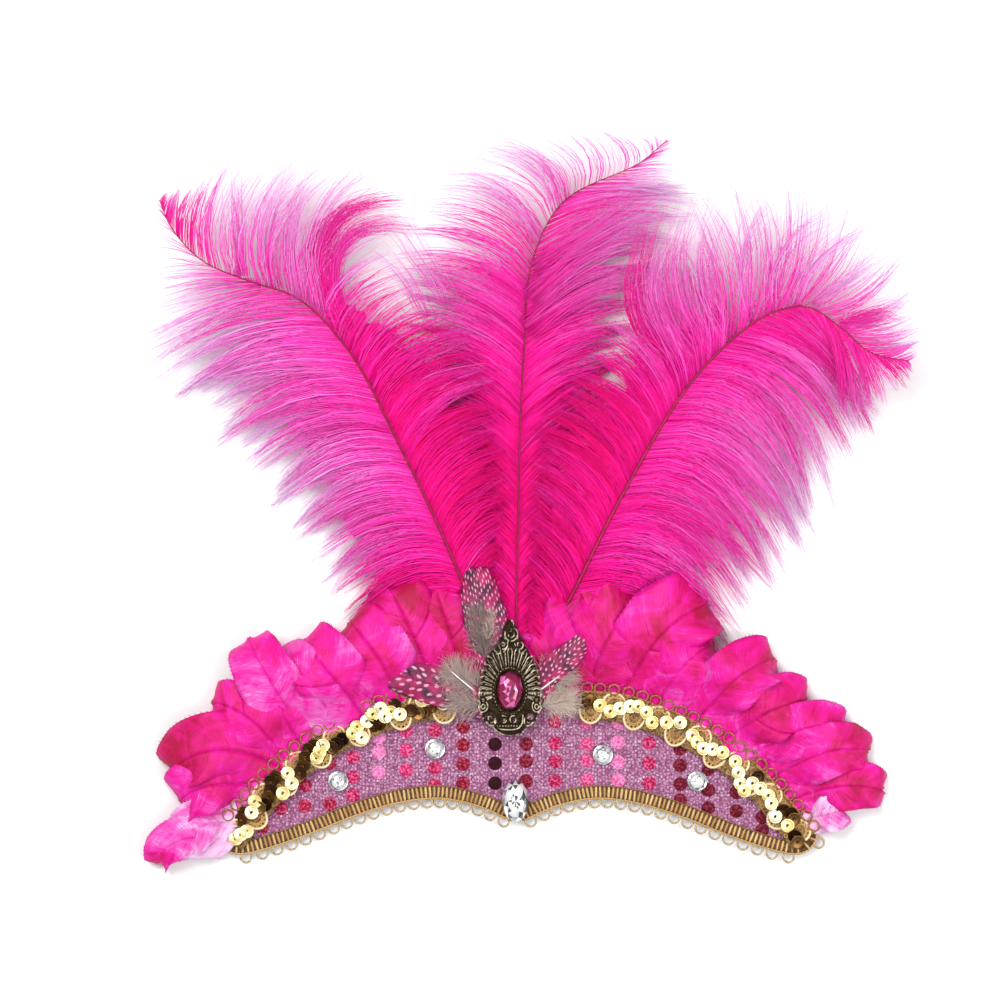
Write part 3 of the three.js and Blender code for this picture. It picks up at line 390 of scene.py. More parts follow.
class Path:
    """A smooth line through points, read by the share of its length."""

    def __init__(self, points):
        points = np.array(points, float)
        knots = np.vstack((2 * points[0] - points[1], points, 2 * points[-1] - points[-2]))
        line = [points[:1]]
        t = np.linspace(0, 1, PATH_STEPS + 1)[1:, None]
        for before, start, end, after in zip(knots, knots[1:], knots[2:], knots[3:]):
            lead, span, tail = (
                max(np.linalg.norm(b - a) ** 0.5, 1e-4) for a, b in (
                    (before, start), (start, end), (end, after)
                )
            )
            leave = ((start - before) / lead - (end - before) / (lead + span) + (end - start) / span) * span
            arrive = ((end - start) / span - (after - start) / (span + tail) + (after - end) / tail) * span
            line.append(
                start * (2 * t**3 - 3 * t**2 + 1)
                + leave * (t**3 - 2 * t**2 + t)
                + end * (3 * t**2 - 2 * t**3)
                + arrive * (t**3 - t**2)
            )
        self.line = np.vstack(line)
        self.run = run_of(self.line)
        self.length = self.run[-1]

    def at(self, share):
        return read_line(self.line, self.run, np.asarray(share, float) * self.length)

    def heading(self, share):
        share = np.asarray(share, float)
        ahead = self.at(np.minimum(share + 0.004, 1)) - self.at(np.maximum(share - 0.004, 0))
        return ahead / np.linalg.norm(ahead, axis=-1, keepdims=True)


def side_path(rows, side):
    return Path([(AXIS_X + side * out, y) for out, y in rows])


class Form:
    """Points in millimetres with faces, a tone for each point and a flat place for each face corner."""

    def __init__(self, points, corners, sizes, tone=None, uv=None):
        self.points = np.asarray(points, float)
        self.corners = np.asarray(corners, int)
        self.sizes = np.asarray(sizes, int)
        self.tone = np.zeros(len(self.points)) if tone is None else np.asarray(tone, float)
        self.uv = np.zeros((len(self.corners), 2)) if uv is None else np.asarray(uv, float)


def joined(forms):
    offsets = np.cumsum([0] + [len(f.points) for f in forms[:-1]])
    return Form(
        np.vstack([f.points for f in forms]),
        np.concatenate([f.corners + offset for f, offset in zip(forms, offsets)]),
        np.concatenate([f.sizes for f in forms]),
        np.concatenate([f.tone for f in forms]),
        np.vstack([f.uv for f in forms]),
    )


def stamped(unit, places, tones=None):
    """Copies of one unit, each turned and moved by its 4 x 4 matrix."""
    places = np.array([np.array(m) for m in places])
    points = np.concatenate((unit.points, np.ones((len(unit.points), 1))), axis=1)
    moved = np.einsum("nij,pj->npi", places, points)[:, :, :3].reshape(-1, 3)
    count = len(places)
    corners = (unit.corners[None, :] + (np.arange(count) * len(unit.points))[:, None]).ravel()
    tone = np.tile(unit.tone, count)
    if tones is not None:
        tone = tone + np.repeat(np.asarray(tones, float), len(unit.points))
    return Form(moved, corners, np.tile(unit.sizes, count), tone, np.tile(unit.uv, (count, 1)))


def make_piece(name, form, material, replaced=(), smooth=True):
    """Turns a form into a mesh object in the frame, declared as a piece of the headdress."""
    mesh = bpy.data.meshes.new(name)
    points = to_frame(form.points)
    points[:, 2] = np.maximum(points[:, 2], FLOOR_GAP * MM)
    mesh.vertices.add(len(points))
    mesh.vertices.foreach_set("co", points.astype(np.float32).ravel())
    mesh.loops.add(len(form.corners))
    mesh.loops.foreach_set("vertex_index", form.corners.astype(np.int32))
    mesh.polygons.add(len(form.sizes))
    starts = np.concatenate(([0], np.cumsum(form.sizes)[:-1]))
    mesh.polygons.foreach_set("loop_start", starts.astype(np.int32))
    mesh.update(calc_edges=True)
    domain = "FACE" if len(form.tone) == len(form.sizes) else "POINT"
    mesh.attributes.new("Tone", "FLOAT", domain).data.foreach_set("value", form.tone.astype(np.float32))
    mesh.uv_layers.new(name="Flat").data.foreach_set("uv", form.uv.astype(np.float32).ravel())
    mesh.validate()
    if smooth:
        mesh.shade_smooth()
    piece = bpy.data.objects.new(name, mesh)
    bpy.context.scene.collection.objects.link(piece)
    return declare(piece, material, replaced)


def declare(piece, material, replaced=()):
    piece.data.materials.clear()
    piece.data.materials.append(material)
    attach(piece, "root")
    if replaced:
        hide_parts(*replaced)
    return piece


def deselect_all():
    if bpy.context.object and bpy.context.object.mode != "OBJECT":
        bpy.ops.object.mode_set(mode="OBJECT")
    bpy.ops.object.select_all(action="DESELECT")


def taken_form(piece):
    """The form of a unit modelled at the origin, one Blender metre to a millimetre. The unit is removed."""
    mesh = piece.data
    mesh.transform(piece.matrix_world)
    points = np.empty(len(mesh.vertices) * 3)
    mesh.vertices.foreach_get("co", points)
    corners = np.empty(len(mesh.loops), int)
    mesh.loops.foreach_get("vertex_index", corners)
    sizes = np.array([len(p.vertices) for p in mesh.polygons])
    bpy.data.objects.remove(piece)
    return Form(points.reshape(-1, 3), corners, sizes)


def strand_form(paths, widths, tone, roll, rise=0.25):
    """Closed three-sided strands along paths of shape (strands, rings, 3)."""
    count, rings = paths.shape[:2]
    along = unit(np.gradient(paths, axis=1))
    side = unit(np.cross(along, np.array([0, 0, 1.0])))
    up = np.cross(side, along)
    turn = roll[:, None, None]
    across = side * np.cos(turn) + up * np.sin(turn)
    out = up * np.cos(turn) - side * np.sin(turn)
    half = widths[:, :, None] / 2
    section = np.stack((paths - across * half, paths + across * half, paths + out * half * 2 * rise), axis=2)
    corners, sizes = ring_faces(rings, 3)
    corners = (corners[None, :] + (np.arange(count) * rings * 3)[:, None]).ravel()
    return Form(section.reshape(-1, 3), corners, np.tile(sizes, count), np.repeat(tone, 3, axis=1).ravel())


def tube_form(line, radii, sides=8, twist=0.0, lobes=0, depth=0.0, tone=0.0):
    """A closed tube along points. Lobes that turn by twist radians a millimetre make a twisted cord of it."""
    line = np.asarray(line, float)
    radii = np.broadcast_to(np.asarray(radii, float), len(line))
    along = unit(np.gradient(line, axis=0))
    side = np.cross(along, np.array([0, 0, 1.0]))
    lengths = np.linalg.norm(side, axis=1, keepdims=True)
    side = np.where(lengths > 1e-6, side / (lengths + 1e-12), np.array([1.0, 0, 0]))
    up = np.cross(side, along)
    run = run_of(line)
    angle = np.arange(sides) * 2 * math.pi / sides
    swell = 1 + depth * np.cos(lobes * (angle[None, :] - twist * run[:, None]))
    reach = radii[:, None] * swell
    points = (
        line[:, None, :]
        + side[:, None, :] * (reach * np.cos(angle))[:, :, None]
        + up[:, None, :] * (reach * np.sin(angle))[:, :, None]
    )
    rings = len(line)
    left, right = np.arange(sides) / sides, (np.arange(sides) + 1) / sides
    low, high = run[:-1, None], run[1:, None]
    wall = np.stack(np.broadcast_arrays(left, low, left, high, right, high, right, low), axis=-1)
    uv = np.vstack((wall.reshape(-1, 2), np.zeros((2 * sides, 2))))
    return Form(points.reshape(-1, 3), *ring_faces(rings, sides), np.full(rings * sides, tone), uv)


def source(value):
    """The first output of a node, or the value itself where it is a socket, a number or a colour."""
    return value.outputs[0] if isinstance(value, bpy.types.Node) else value


def add_node(tree, kind, inputs=None, stops=(), **settings):
    """Adds a node with its settings, its values, colours and links, and the stops of a colour ramp."""
    made = tree.nodes.new(kind)
    for name, value in settings.items():
        setattr(made, name, value)
    for socket, value in (inputs or {}).items():
        value = source(value)
        if isinstance(value, bpy.types.NodeSocket):
            tree.links.new(value, made.inputs[socket])
        else:
            made.inputs[socket].default_value = rgba(value) if isinstance(value, str) else value
    if stops:
        ramp = made.color_ramp.elements
        ramp[0].position, ramp[-1].position = stops[0][0], stops[-1][0]
        for at, _ in stops[1:-1]:
            ramp.new(at)
        for stop, (_, colour) in zip(ramp, stops):
            stop.color = rgba(colour)
    return made


def start_material(name, sockets):
    """A material with the values of its Principled shader that are even all over it."""
    material = bpy.data.materials.new(name)
    material.use_nodes = True
    shader = material.node_tree.nodes["Principled BSDF"]
    for socket, value in sockets.items():
        shader.inputs[socket].default_value = value
    return material, material.node_tree


def finished(material, colour, bump=None):
    """Leads a colour, and a bump if there is one, into the material's shader."""
    links = material.node_tree.links
    sockets = material.node_tree.nodes["Principled BSDF"].inputs
    links.new(source(colour), sockets["Base Color"])
    if bump:
        links.new(source(bump), sockets["Normal"])
    return material


def mottled(name, sockets, scale, detail, dark, light, spread=0.2, bump=0.0, depth=0.0002):
    """A material in two shades, spread over a fine grain that can also roughen it."""
    material, tree = start_material(name, sockets)
    place = add_node(tree, "ShaderNodeTexCoord").outputs["Object"]
    grain = add_node(tree, "ShaderNodeTexNoise", {"Vector": place, "Scale": scale, "Detail": detail})
    shade = add_node(
        tree, "ShaderNodeValToRGB", {"Fac": grain}, stops=((0.5 - spread, dark), (0.5 + spread, light))
    )
    if not bump:
        return finished(material, shade)
    rough = add_node(tree, "ShaderNodeBump", {"Height": grain, "Strength": bump, "Distance": depth})
    return finished(material, shade, rough)


def toned(name, sockets, stops):
    """A material whose colour follows the tone of each point."""
    material, tree = start_material(name, sockets)
    tone = add_node(tree, "ShaderNodeAttribute", attribute_name="Tone").outputs["Fac"]
    return finished(material, add_node(tree, "ShaderNodeValToRGB", {"Fac": tone}, stops=stops))


def white_paper():
    """Matt white paper: an even, bright ground with hardly any grain."""
    return mottled("matt_white_floor", {"Roughness": 0.9, "Specular IOR Level": 0.2}, 400, 2, 0.86, 0.88)


def dyed_ostrich():
    """Dyed ostrich barbs: matt and soft, saturated where they lie thick, painted paler at their fine ends for
    the light that thin barbs let through, and with painted sheen in lighter lines along the barbs.
    """
    colours = bpy.context.scene.headdress_colours
    material, tree = start_material(
        "dyed_ostrich_barbs", {"Roughness": 0.75, "IOR": 1.5, "Specular IOR Level": 0.12}
    )
    tone = add_node(tree, "ShaderNodeAttribute", attribute_name="Tone").outputs["Fac"]
    place = add_node(tree, "ShaderNodeTexCoord").outputs["Object"]
    mottle = add_node(tree, "ShaderNodeTexNoise", {"Vector": place, "Scale": 900, "Detail": 2})
    flat = add_node(tree, "ShaderNodeUVMap", uv_map="Flat")
    along = add_node(tree, "ShaderNodeMapping", {"Vector": flat, "Scale": (0.06, 2.2, 1)})
    # Lines along the barbs: partly barb texture, partly painted sheen that lightens the tone; they also give
    # the bump.
    barb_lines_and_sheen = add_node(tree, "ShaderNodeTexNoise", {"Vector": along, "Scale": 1, "Detail": 3})
    speckled = add_node(tree, "ShaderNodeMath", {0: mottle, 1: 0.15, 2: tone}, operation="MULTIPLY_ADD")
    shifted = add_node(tree, "ShaderNodeMath", {0: barb_lines_and_sheen, 1: 0.35, 2: speckled}, operation="MULTIPLY_ADD")
    # High tones paint pale pink and lilac: the light that thin barb ends let through.
    stops = (
        (0.22, colours.plume_deep), (0.42, colours.plume_bright), (0.62, "f648bc"), (0.86, "f682da"),
        (1.0, "f0b4ea"),
    )
    dye = add_node(tree, "ShaderNodeValToRGB", {"Fac": shifted}, stops=stops)
    bump = add_node(tree, "ShaderNodeBump", {"Height": barb_lines_and_sheen, "Strength": 0.6, "Distance": 0.0004})
    return finished(material, dye, bump)


def dyed_quill():
    """A dyed quill: hard, smooth keratin that has taken the dye as a dark red."""
    sockets = {"Roughness": 0.5, "IOR": 1.54, "Specular IOR Level": 0.3}
    return mottled("dyed_feather_quill", sockets, 350, 3, "760628", "a80a44")


def dyed_goose():
    """Dyed goose feather: a satin vane of fine barbs, in crumpled patches of crimson painted shade and of
    pale lilac that is partly pale down, partly painted highlight.
    """
    colours = bpy.context.scene.headdress_colours
    material, tree = start_material(
        "dyed_goose_vane", {"Roughness": 0.5, "IOR": 1.5, "Specular IOR Level": 0.22}
    )
    tone = add_node(tree, "ShaderNodeAttribute", attribute_name="Tone").outputs["Fac"]
    flat = add_node(tree, "ShaderNodeUVMap", uv_map="Flat")
    along = add_node(tree, "ShaderNodeMapping", {"Vector": flat, "Scale": (0.09, 2.6, 1)})
    barbs = add_node(tree, "ShaderNodeTexNoise", {"Vector": along, "Scale": 1, "Detail": 2})
    place = add_node(tree, "ShaderNodeTexCoord").outputs["Object"]
    # Crumple noise that moves the tone up and down: painted light and shade of crumpled satin.
    folds = {"Vector": place, "Scale": 48, "Detail": 8, "Roughness": 0.68, "Distortion": 1.6}
    crumple_light_and_shade = add_node(tree, "ShaderNodeTexNoise", folds)
    spread = add_node(tree, "ShaderNodeMath", {0: crumple_light_and_shade, 1: 1.3, 2: -0.69}, operation="MULTIPLY_ADD")
    tone_with_crumple_shading = add_node(tree, "ShaderNodeMath", {0: spread, 1: tone}, operation="ADD")
    shifted = add_node(tree, "ShaderNodeMath", {0: barbs, 1: 0.42, 2: tone_with_crumple_shading}, operation="MULTIPLY_ADD")
    # The crimson low end is painted shade where the vane turns from the light; the pale lilac high end is
    # partly pale down, partly painted highlight.
    stops = (
        (0.06, "a4003c"), (0.28, "c8046a"), (0.5, colours.goose_bright), (0.76, "d860b4"), (1.0, "ecc0e4")
    )
    dye = add_node(tree, "ShaderNodeValToRGB", {"Fac": shifted}, stops=stops)
    bump = add_node(tree, "ShaderNodeBump", {"Height": barbs, "Strength": 0.5, "Distance": 0.0003})
    return finished(material, dye, bump)


def guinea_vane():
    """Guinea fowl feather: rows of pale dashes on a dark ground that takes on the pink round it in places."""
    material, tree = start_material("spotted_guinea_vane", {"Roughness": 0.6, "IOR": 1.5})
    flat = add_node(tree, "ShaderNodeUVMap", uv_map="Flat")
    rows = {"Vector": flat, "Scale": 1, "Randomness": 0.45}
    cells = add_node(tree, "ShaderNodeTexVoronoi", rows, voronoi_dimensions="2D")
    place = add_node(tree, "ShaderNodeTexCoord").outputs["Object"]
    stain = add_node(tree, "ShaderNodeTexNoise", {"Vector": place, "Scale": 160, "Detail": 3})
    ground = add_node(tree, "ShaderNodeValToRGB", {"Fac": stain}, stops=((0.38, "3e102e"), (0.64, "a8145a")))
    spots = add_node(tree, "ShaderNodeValToRGB", {"Fac": cells}, stops=((0.15, 1.0), (0.28, 0.0)))
    vane = add_node(tree, "ShaderNodeMix", {0: spots, 6: ground, 7: "dc94b4"}, data_type="RGBA")
    return finished(material, vane.outputs[2])


def natural_fluff():
    """Undyed down at the root of guinea feathers: soft, grey-beige and matt."""
    sockets = {"Roughness": 0.8, "IOR": 1.5, "Sheen Weight": 0.3}
    return toned("natural_feather_fluff", sockets, ((0.0, "5e423c"), (0.5, "b89c96"), (1.0, "e8d8c4")))


def bare_quill():
    """The bare foot of an undyed quill: glossy, yellow-white keratin."""
    return mottled("bare_white_quill", {"Roughness": 0.3, "IOR": 1.54}, 600, 2, "d8ccc6", "f6f0ea")


def band_weave():
    """Coarse speckled knit: pink, lilac, grey and dark threads, with painted shade in the gaps between the
    stitches.
    """
    fabric = bpy.context.scene.headdress_colours.fabric
    material, tree = start_material(
        "speckled_band_weave", {"Roughness": 0.75, "IOR": 1.5, "Sheen Weight": 0.1}
    )
    place = add_node(tree, "ShaderNodeTexCoord").outputs["Object"]
    cells = add_node(tree, "ShaderNodeVectorMath", {0: place, 1: (0.0009, 0.0008, 1)}, operation="SNAP")
    thread = add_node(tree, "ShaderNodeTexWhiteNoise", {"Vector": cells}, noise_dimensions="3D")
    stops = ((0.0, "8c4c74"), (0.14, "a85c88"), (0.4, fabric), (0.66, "cf92b8"), (0.9, "e4bcd4"))
    speckle = add_node(tree, "ShaderNodeValToRGB", {"Fac": thread}, stops=stops)
    speckle.color_ramp.interpolation = "CONSTANT"
    rib = {"Vector": place, "Scale": 262, "Distortion": 0.8, "Detail": 1}
    ribs = add_node(tree, "ShaderNodeTexWave", rib, bands_direction="X")
    shade = add_node(
        tree, "ShaderNodeMix", {0: 0.38, 6: speckle, 7: ribs}, data_type="RGBA", blend_type="MULTIPLY",
    )
    loops = {"Vector": place, "Scale": 620, "Randomness": 0.8}
    stitches = add_node(
        tree, "ShaderNodeTexVoronoi", loops, voronoi_dimensions="2D", feature="DISTANCE_TO_EDGE",
    ).outputs["Distance"]
    # Darker towards each stitch's edge, in a dark mauve: painted shade in the gaps between the stitches.
    edges = {"Value": stitches, "From Min": 0.07, "From Max": 0.26, "To Min": 0.72, "To Max": 0.0}
    gaps = add_node(tree, "ShaderNodeMapRange", edges)
    knitted = add_node(tree, "ShaderNodeMix", {0: gaps, 6: shade.outputs[2], 7: "6a2e56"}, data_type="RGBA")
    wefts = add_node(tree, "ShaderNodeTexWave", {"Vector": place, "Scale": 450}, bands_direction="Y")
    crossings = {0: ribs.outputs["Fac"], 1: wefts.outputs["Fac"]}
    weave = add_node(tree, "ShaderNodeMath", crossings, operation="MULTIPLY")
    bump = add_node(tree, "ShaderNodeBump", {"Height": weave, "Strength": 0.6, "Distance": 0.0004})
    return finished(material, knitted.outputs[2], bump)


def pressed_foil():
    """Foil pressed on the fabric, from maroon through hot pink to pale, worn along the threads."""
    sockets = {"Metallic": 0.05, "Roughness": 0.5, "Specular IOR Level": 0.1}
    material, tree = start_material("pressed_foil_dot", sockets)
    tone = add_node(tree, "ShaderNodeAttribute", attribute_name="Tone").outputs["Fac"]
    stops = ((0.0, "2e0212"), (0.33, "8e0826"), (0.66, "c42262"), (1.0, "dc84c0"))
    foil = add_node(tree, "ShaderNodeValToRGB", {"Fac": tone}, stops=stops)
    place = add_node(tree, "ShaderNodeTexCoord").outputs["Object"]
    grain = add_node(tree, "ShaderNodeTexVoronoi", {"Vector": place, "Scale": 1100})
    threads = add_node(tree, "ShaderNodeTexNoise", {"Vector": place, "Scale": 900, "Detail": 2})
    mottle = add_node(tree, "ShaderNodeValToRGB", {"Fac": threads}, stops=((0.38, 0.12), (0.62, 0.75)))
    shade = add_node(
        tree, "ShaderNodeMix", {0: 0.7, 6: foil, 7: mottle}, data_type="RGBA", blend_type="OVERLAY"
    )
    gaps = {"Value": threads, "From Min": 0.5, "From Max": 0.62, "To Max": 0.7}
    bare = add_node(tree, "ShaderNodeMapRange", gaps)
    worn = add_node(tree, "ShaderNodeMath", {0: bare, 1: tone}, operation="MULTIPLY")
    fabric = rgba(bpy.context.scene.headdress_colours.fabric)
    broken = add_node(tree, "ShaderNodeMix", {0: worn, 6: shade.outputs[2], 7: fabric}, data_type="RGBA")
    bump = add_node(tree, "ShaderNodeBump", {"Height": grain, "Strength": 0.5, "Distance": 0.0002})
    return finished(material, broken.outputs[2], bump)


def gold_yarn():
    """Rayon gimp yarn with a metallic wrap: tan gold with a soft shine, lighter where the tone is high."""
    material, tree = start_material("metallic_gimp_yarn", {"Metallic": 0.35, "Roughness": 0.45})
    place = add_node(tree, "ShaderNodeTexCoord").outputs["Object"]
    tone = add_node(tree, "ShaderNodeAttribute", attribute_name="Tone").outputs["Fac"]
    fibres = add_node(tree, "ShaderNodeTexNoise", {"Vector": place, "Scale": 1600, "Detail": 2})
    level = add_node(tree, "ShaderNodeMath", {0: fibres, 1: 0.5, 2: tone}, operation="MULTIPLY_ADD")
    gold = bpy.context.scene.headdress_colours.gold_braid
    stops = ((0.0, "5a3a18"), (0.3, gold), (0.65, "ccaa70"), (1.0, "f2dcb4"))
    yarn = add_node(tree, "ShaderNodeValToRGB", {"Fac": level}, stops=stops)
    bump = add_node(tree, "ShaderNodeBump", {"Height": fibres, "Strength": 0.5, "Distance": 0.0002})
    return finished(material, yarn, bump)


def braid_ground(name, dark, light):
    """Ground weave of a gimp braid: dull cotton that shows between the yarns, in a colour that can also carry
    painted shade.
    """
    return mottled(name, {"Roughness": 0.8, "IOR": 1.5}, 1300, 2, dark, light, 0.15, 0.5, 0.0003)


def picot_yarn(name, dark, light):
    """Picot yarn: thin metallic-wrapped cord, dull with the colour of what lies behind it."""
    return mottled(name, {"Metallic": 0.3, "Roughness": 0.5}, 1400, 2, dark, light)


def silver_setting():
    """Stamped and plated stone setting: bright silver with fine scratches."""
    return mottled("plated_silver_setting", {"Metallic": 1.0, "Roughness": 0.22}, 700, 3, "8d9098", "e4e6ea")


def cup_sequin_gold():
    """Vacuum-metallised plastic sequins, all of one pale gold with a crisp shine: low tones paint a dark
    brown reflection on them, high tones a pale highlight.
    """
    gold = bpy.context.scene.headdress_colours.sequin
    # Dark browns paint reflections of the dark room; the palest stop paints a highlight.
    stops = ((0.0, "241206"), (0.25, "5c3818"), (0.6, gold), (1.0, "f6ebc2"))
    return toned("metallised_cup_sequin", {"Metallic": 0.85, "Roughness": 0.3}, stops)


def antique_bronze(name, dark, light, roughness):
    """Cast bronze, blackened in its recesses and rubbed bright on its edges."""
    return mottled(name, {"Metallic": 1.0, "Roughness": roughness}, 900, 4, dark, light, 0.15, 0.3)


def cut_glass(name, dark, middle, light):
    """Foil-backed cut glass: polished facets whose reflections of bright and dark parts of the room are
    painted into their colour, facet by facet.
    """
    coat = {"Coat Weight": 1.0, "Coat Roughness": 0.03, "Coat IOR": 1.5}
    return toned(
        name, {"Metallic": 0.5, "Roughness": 0.08, **coat}, ((0.0, dark), (0.45, middle), (1.0, light))
    )


class Vane:
    """One side of a plume: where its barbs leave the quill, and where they end."""

    def __init__(self, name, sign):
        points, self.rows = PLUMES[name]
        self.quill, self.sign = Path(points), sign
        self.column = 1 if sign > 0 else 4
        self.fades, self.crowds = (np.array(table[name])[:, (0, 1 if sign > 0 else 2)].T for table in SIDED)

    def fade(self, share):
        return np.interp(share, *self.fades)

    def crowd(self, share):
        return np.interp(share, *self.crowds)

    def read(self, share, offset):
        return np.interp(share, self.rows[:, 0], self.rows[:, self.column + offset])

    def headings(self, share):
        ahead = self.quill.heading(share)
        return np.arctan2(ahead[:, 1], ahead[:, 0])

    def tips(self, share, stretch=1.0, swing=0.0):
        angle = self.headings(share) + self.sign * np.radians(self.read(share, 1) + swing)
        reach = self.read(share, 0) * stretch
        flat = self.quill.at(share)[:, :2] + np.stack((np.cos(angle), np.sin(angle)), -1) * reach[:, None]
        return np.column_stack((flat, self.read(share, 2)))

    def paths(self, share, tip, runs):
        """Points along each barb at the shares of its length given by runs."""
        root = self.quill.at(share)
        reach = np.linalg.norm(tip[:, :2] - root[:, :2], axis=1)
        start = self.headings(share) + self.sign * np.radians(np.minimum(self.read(share, 1) * 0.62, 46))
        control = root[:, :2] + np.stack((np.cos(start), np.sin(start)), -1) * (reach * 0.48)[:, None]
        t = runs[:, :, None]
        flat = (1 - t) ** 2 * root[:, None, :2] + 2 * t * (1 - t) * control[:, None] + t**2 * tip[:, None, :2]
        level = root[:, 2:3] + (tip[:, 2:3] - root[:, 2:3]) * runs**VANE_CURVE
        return np.concatenate((flat, level[:, :, None]), axis=2), reach


def plume_barbs(rng, vane, thick_count, fine_count):
    """Barbs of one side of a plume: side by side at the quill, gathered into wisps at the vane's edge."""
    count = thick_count + fine_count
    fine = np.arange(count) >= thick_count
    grid = np.linspace(VANE_FROM, 0.998, 300)
    crowd = np.cumsum(vane.crowd(grid))
    at = np.interp(rng.random(count), (crowd - crowd[0]) / (crowd[-1] - crowd[0]), grid)
    lock = np.floor((at - VANE_FROM) / (1 - VANE_FROM) * LOCKS + rng.normal(0, 0.4, count))
    lock = np.clip(lock, 0, LOCKS - 1).astype(int)
    lock_at = VANE_FROM + (1 - VANE_FROM) * (np.arange(LOCKS) + rng.uniform(0.2, 0.8, LOCKS)) / LOCKS
    lock_tip = vane.tips(lock_at, rng.uniform(0.86, 1.06, LOCKS), rng.normal(0, 3.5, LOCKS))
    lock_tone = rng.normal(0, 0.11, LOCKS)
    lock_lift = rng.uniform(-0.5, 2.4, LOCKS)
    own_tip = vane.tips(at, rng.uniform(0.88, 1.06, count), rng.normal(0, 1.8, count) * np.where(fine, 4, 1))
    length = np.where(fine, rng.uniform(0.5, 1.0, count), rng.uniform(0.5, 1.0, count) ** 0.45)
    share = np.linspace(0, 1, BARB_RINGS) * length[:, None]
    paths, reach = vane.paths(at, own_tip, share)
    gather = np.where(fine, rng.uniform(0, 0.85, count), rng.uniform(0.6, 0.97, count))
    paths += ((lock_tip[lock] - own_tip) * gather[:, None])[:, None, :] * share[:, :, None] ** 2.2
    wave = np.sin(share * rng.uniform(4, 9, count)[:, None] + rng.uniform(0, 6.3, count)[:, None])
    wave *= share * (rng.normal(0, 1, count) * np.where(fine, 0.035, 0.016))[:, None] * reach[:, None]
    run = own_tip[:, :2] - paths[:, 0, :2]
    across = np.stack((-run[:, 1], run[:, 0]), -1) / (reach[:, None] + 1e-6)
    paths[:, :, :2] += across[:, None, :] * wave[:, :, None]
    lift = lock_lift[lock][:, None] + rng.uniform(-0.6, 0.9, count)[:, None]
    paths[:, :, 2] += lift * np.sin(np.pi * np.minimum(share * 0.8, 1)) * np.minimum(reach[:, None] / 30, 1)
    paths[:, :, 2] = np.maximum(paths[:, :, 2], 0.5)
    widest = np.where(fine, rng.uniform(0.16, 0.3, count), rng.uniform(0.4, 0.7, count))
    widest *= np.interp(at, (0.65, 0.85, 1), (1, 0.7, 0.6))
    profile = np.interp(np.linspace(0, 1, BARB_RINGS), (0, 0.25, 0.6, 1), (0.6, 1, 0.8, 0.2))
    # Paler towards each barb's end: painted light that the thin barb lets through.
    tone = vane.fade(at)[:, None] * (0.22 + 0.5 * share + 0.25 * np.maximum(share - 0.8, 0) / 0.2)
    tone += lock_tone[lock][:, None] * share + rng.normal(0, 0.09, count)[:, None]
    tone = np.clip(tone, 0, 1)
    roll = rng.uniform(-0.4, 0.4, count)
    widths = widest[:, None] * profile
    # A fine barb does without its third ring.
    kinds = ((~fine, (0, 1, 2, 3, 4, 5)), (fine, (0, 1, 3, 4, 5)))
    return joined([
        strand_form(*(values[of_kind][:, kept] for values in (paths, widths, tone)), roll[of_kind])
        for of_kind, kept in kinds
    ])


def wisp(rng, count, near, far, tone_near, tone_far, points):
    """A loose lock of barbs that follows its own line."""
    rings = 9
    t = np.linspace(0, 1, rings)
    line = Path(points)
    stop = rng.uniform(0.6, 1.0, count)
    share = t[None, :] * stop[:, None]
    middle = line.at(share)
    ahead = line.heading(share)
    across = np.stack((-ahead[:, :, 1], ahead[:, :, 0], np.zeros_like(share)), -1)
    place = rng.normal(0, 0.5, count)[:, None] + rng.normal(0, 0.18, count)[:, None] * np.sin(6 * share + 2)
    narrow = np.interp(share, (0, 0.5, 0.85, 1), (near, 0.6 * near + 0.3 * far, far * 0.8, far))
    paths = middle + across * (place * narrow)[:, :, None]
    paths[:, :, 2] += rng.normal(0, 0.7, count)[:, None]
    widths = rng.uniform(0.22, 0.42, count)[:, None] * np.interp(t, (0, 0.3, 1), (0.7, 1, 0.2))
    tone = tone_near + (tone_far - tone_near) * share + rng.normal(0, 0.1, count)[:, None]
    return strand_form(paths, widths, np.clip(tone, 0, 1), rng.uniform(-0.4, 0.4, count))


def plume_down(rng, vane):
    """The soft middle of a vane, where the barbs' down mats into one skin with a ragged edge."""
    rows, columns = 90, 7
    at = np.linspace(VANE_FROM, 0.66, rows)
    far = np.interp(at, (0.03, 0.15, 0.5, 0.66), (0.75, 0.72, 0.6, 0.3)) * rng.uniform(0.82, 1.08, rows)
    runs = np.linspace(0.02, 1, columns)[None, :] * far[:, None]
    grid, reach = vane.paths(at, vane.tips(at), runs)
    grid[:, :, 2] = np.maximum(grid[:, :, 2] - 0.5, 0.8)
    uv = np.stack(np.broadcast_arrays(runs * reach[:, None], (at * vane.quill.length)[:, None]), -1)
    # Paler away from the quill: painted light through the thinning down.
    tone = vane.fade(at)[:, None] * (0.15 + 0.4 * runs) + rng.normal(0, 0.02, rows)[:, None]
    return sheet_form(grid, uv, tone, -vane.sign, 0.35)


def feather_quill(quill, root, tip):
    share = np.linspace(0, 1, 70)
    radii = np.interp(share, (0, 0.5, 1), (root / 2, (root + tip) / 3.2, tip / 2))
    line = quill.at(share)
    line[:, 2] += 0.2
    return tube_form(line, radii)


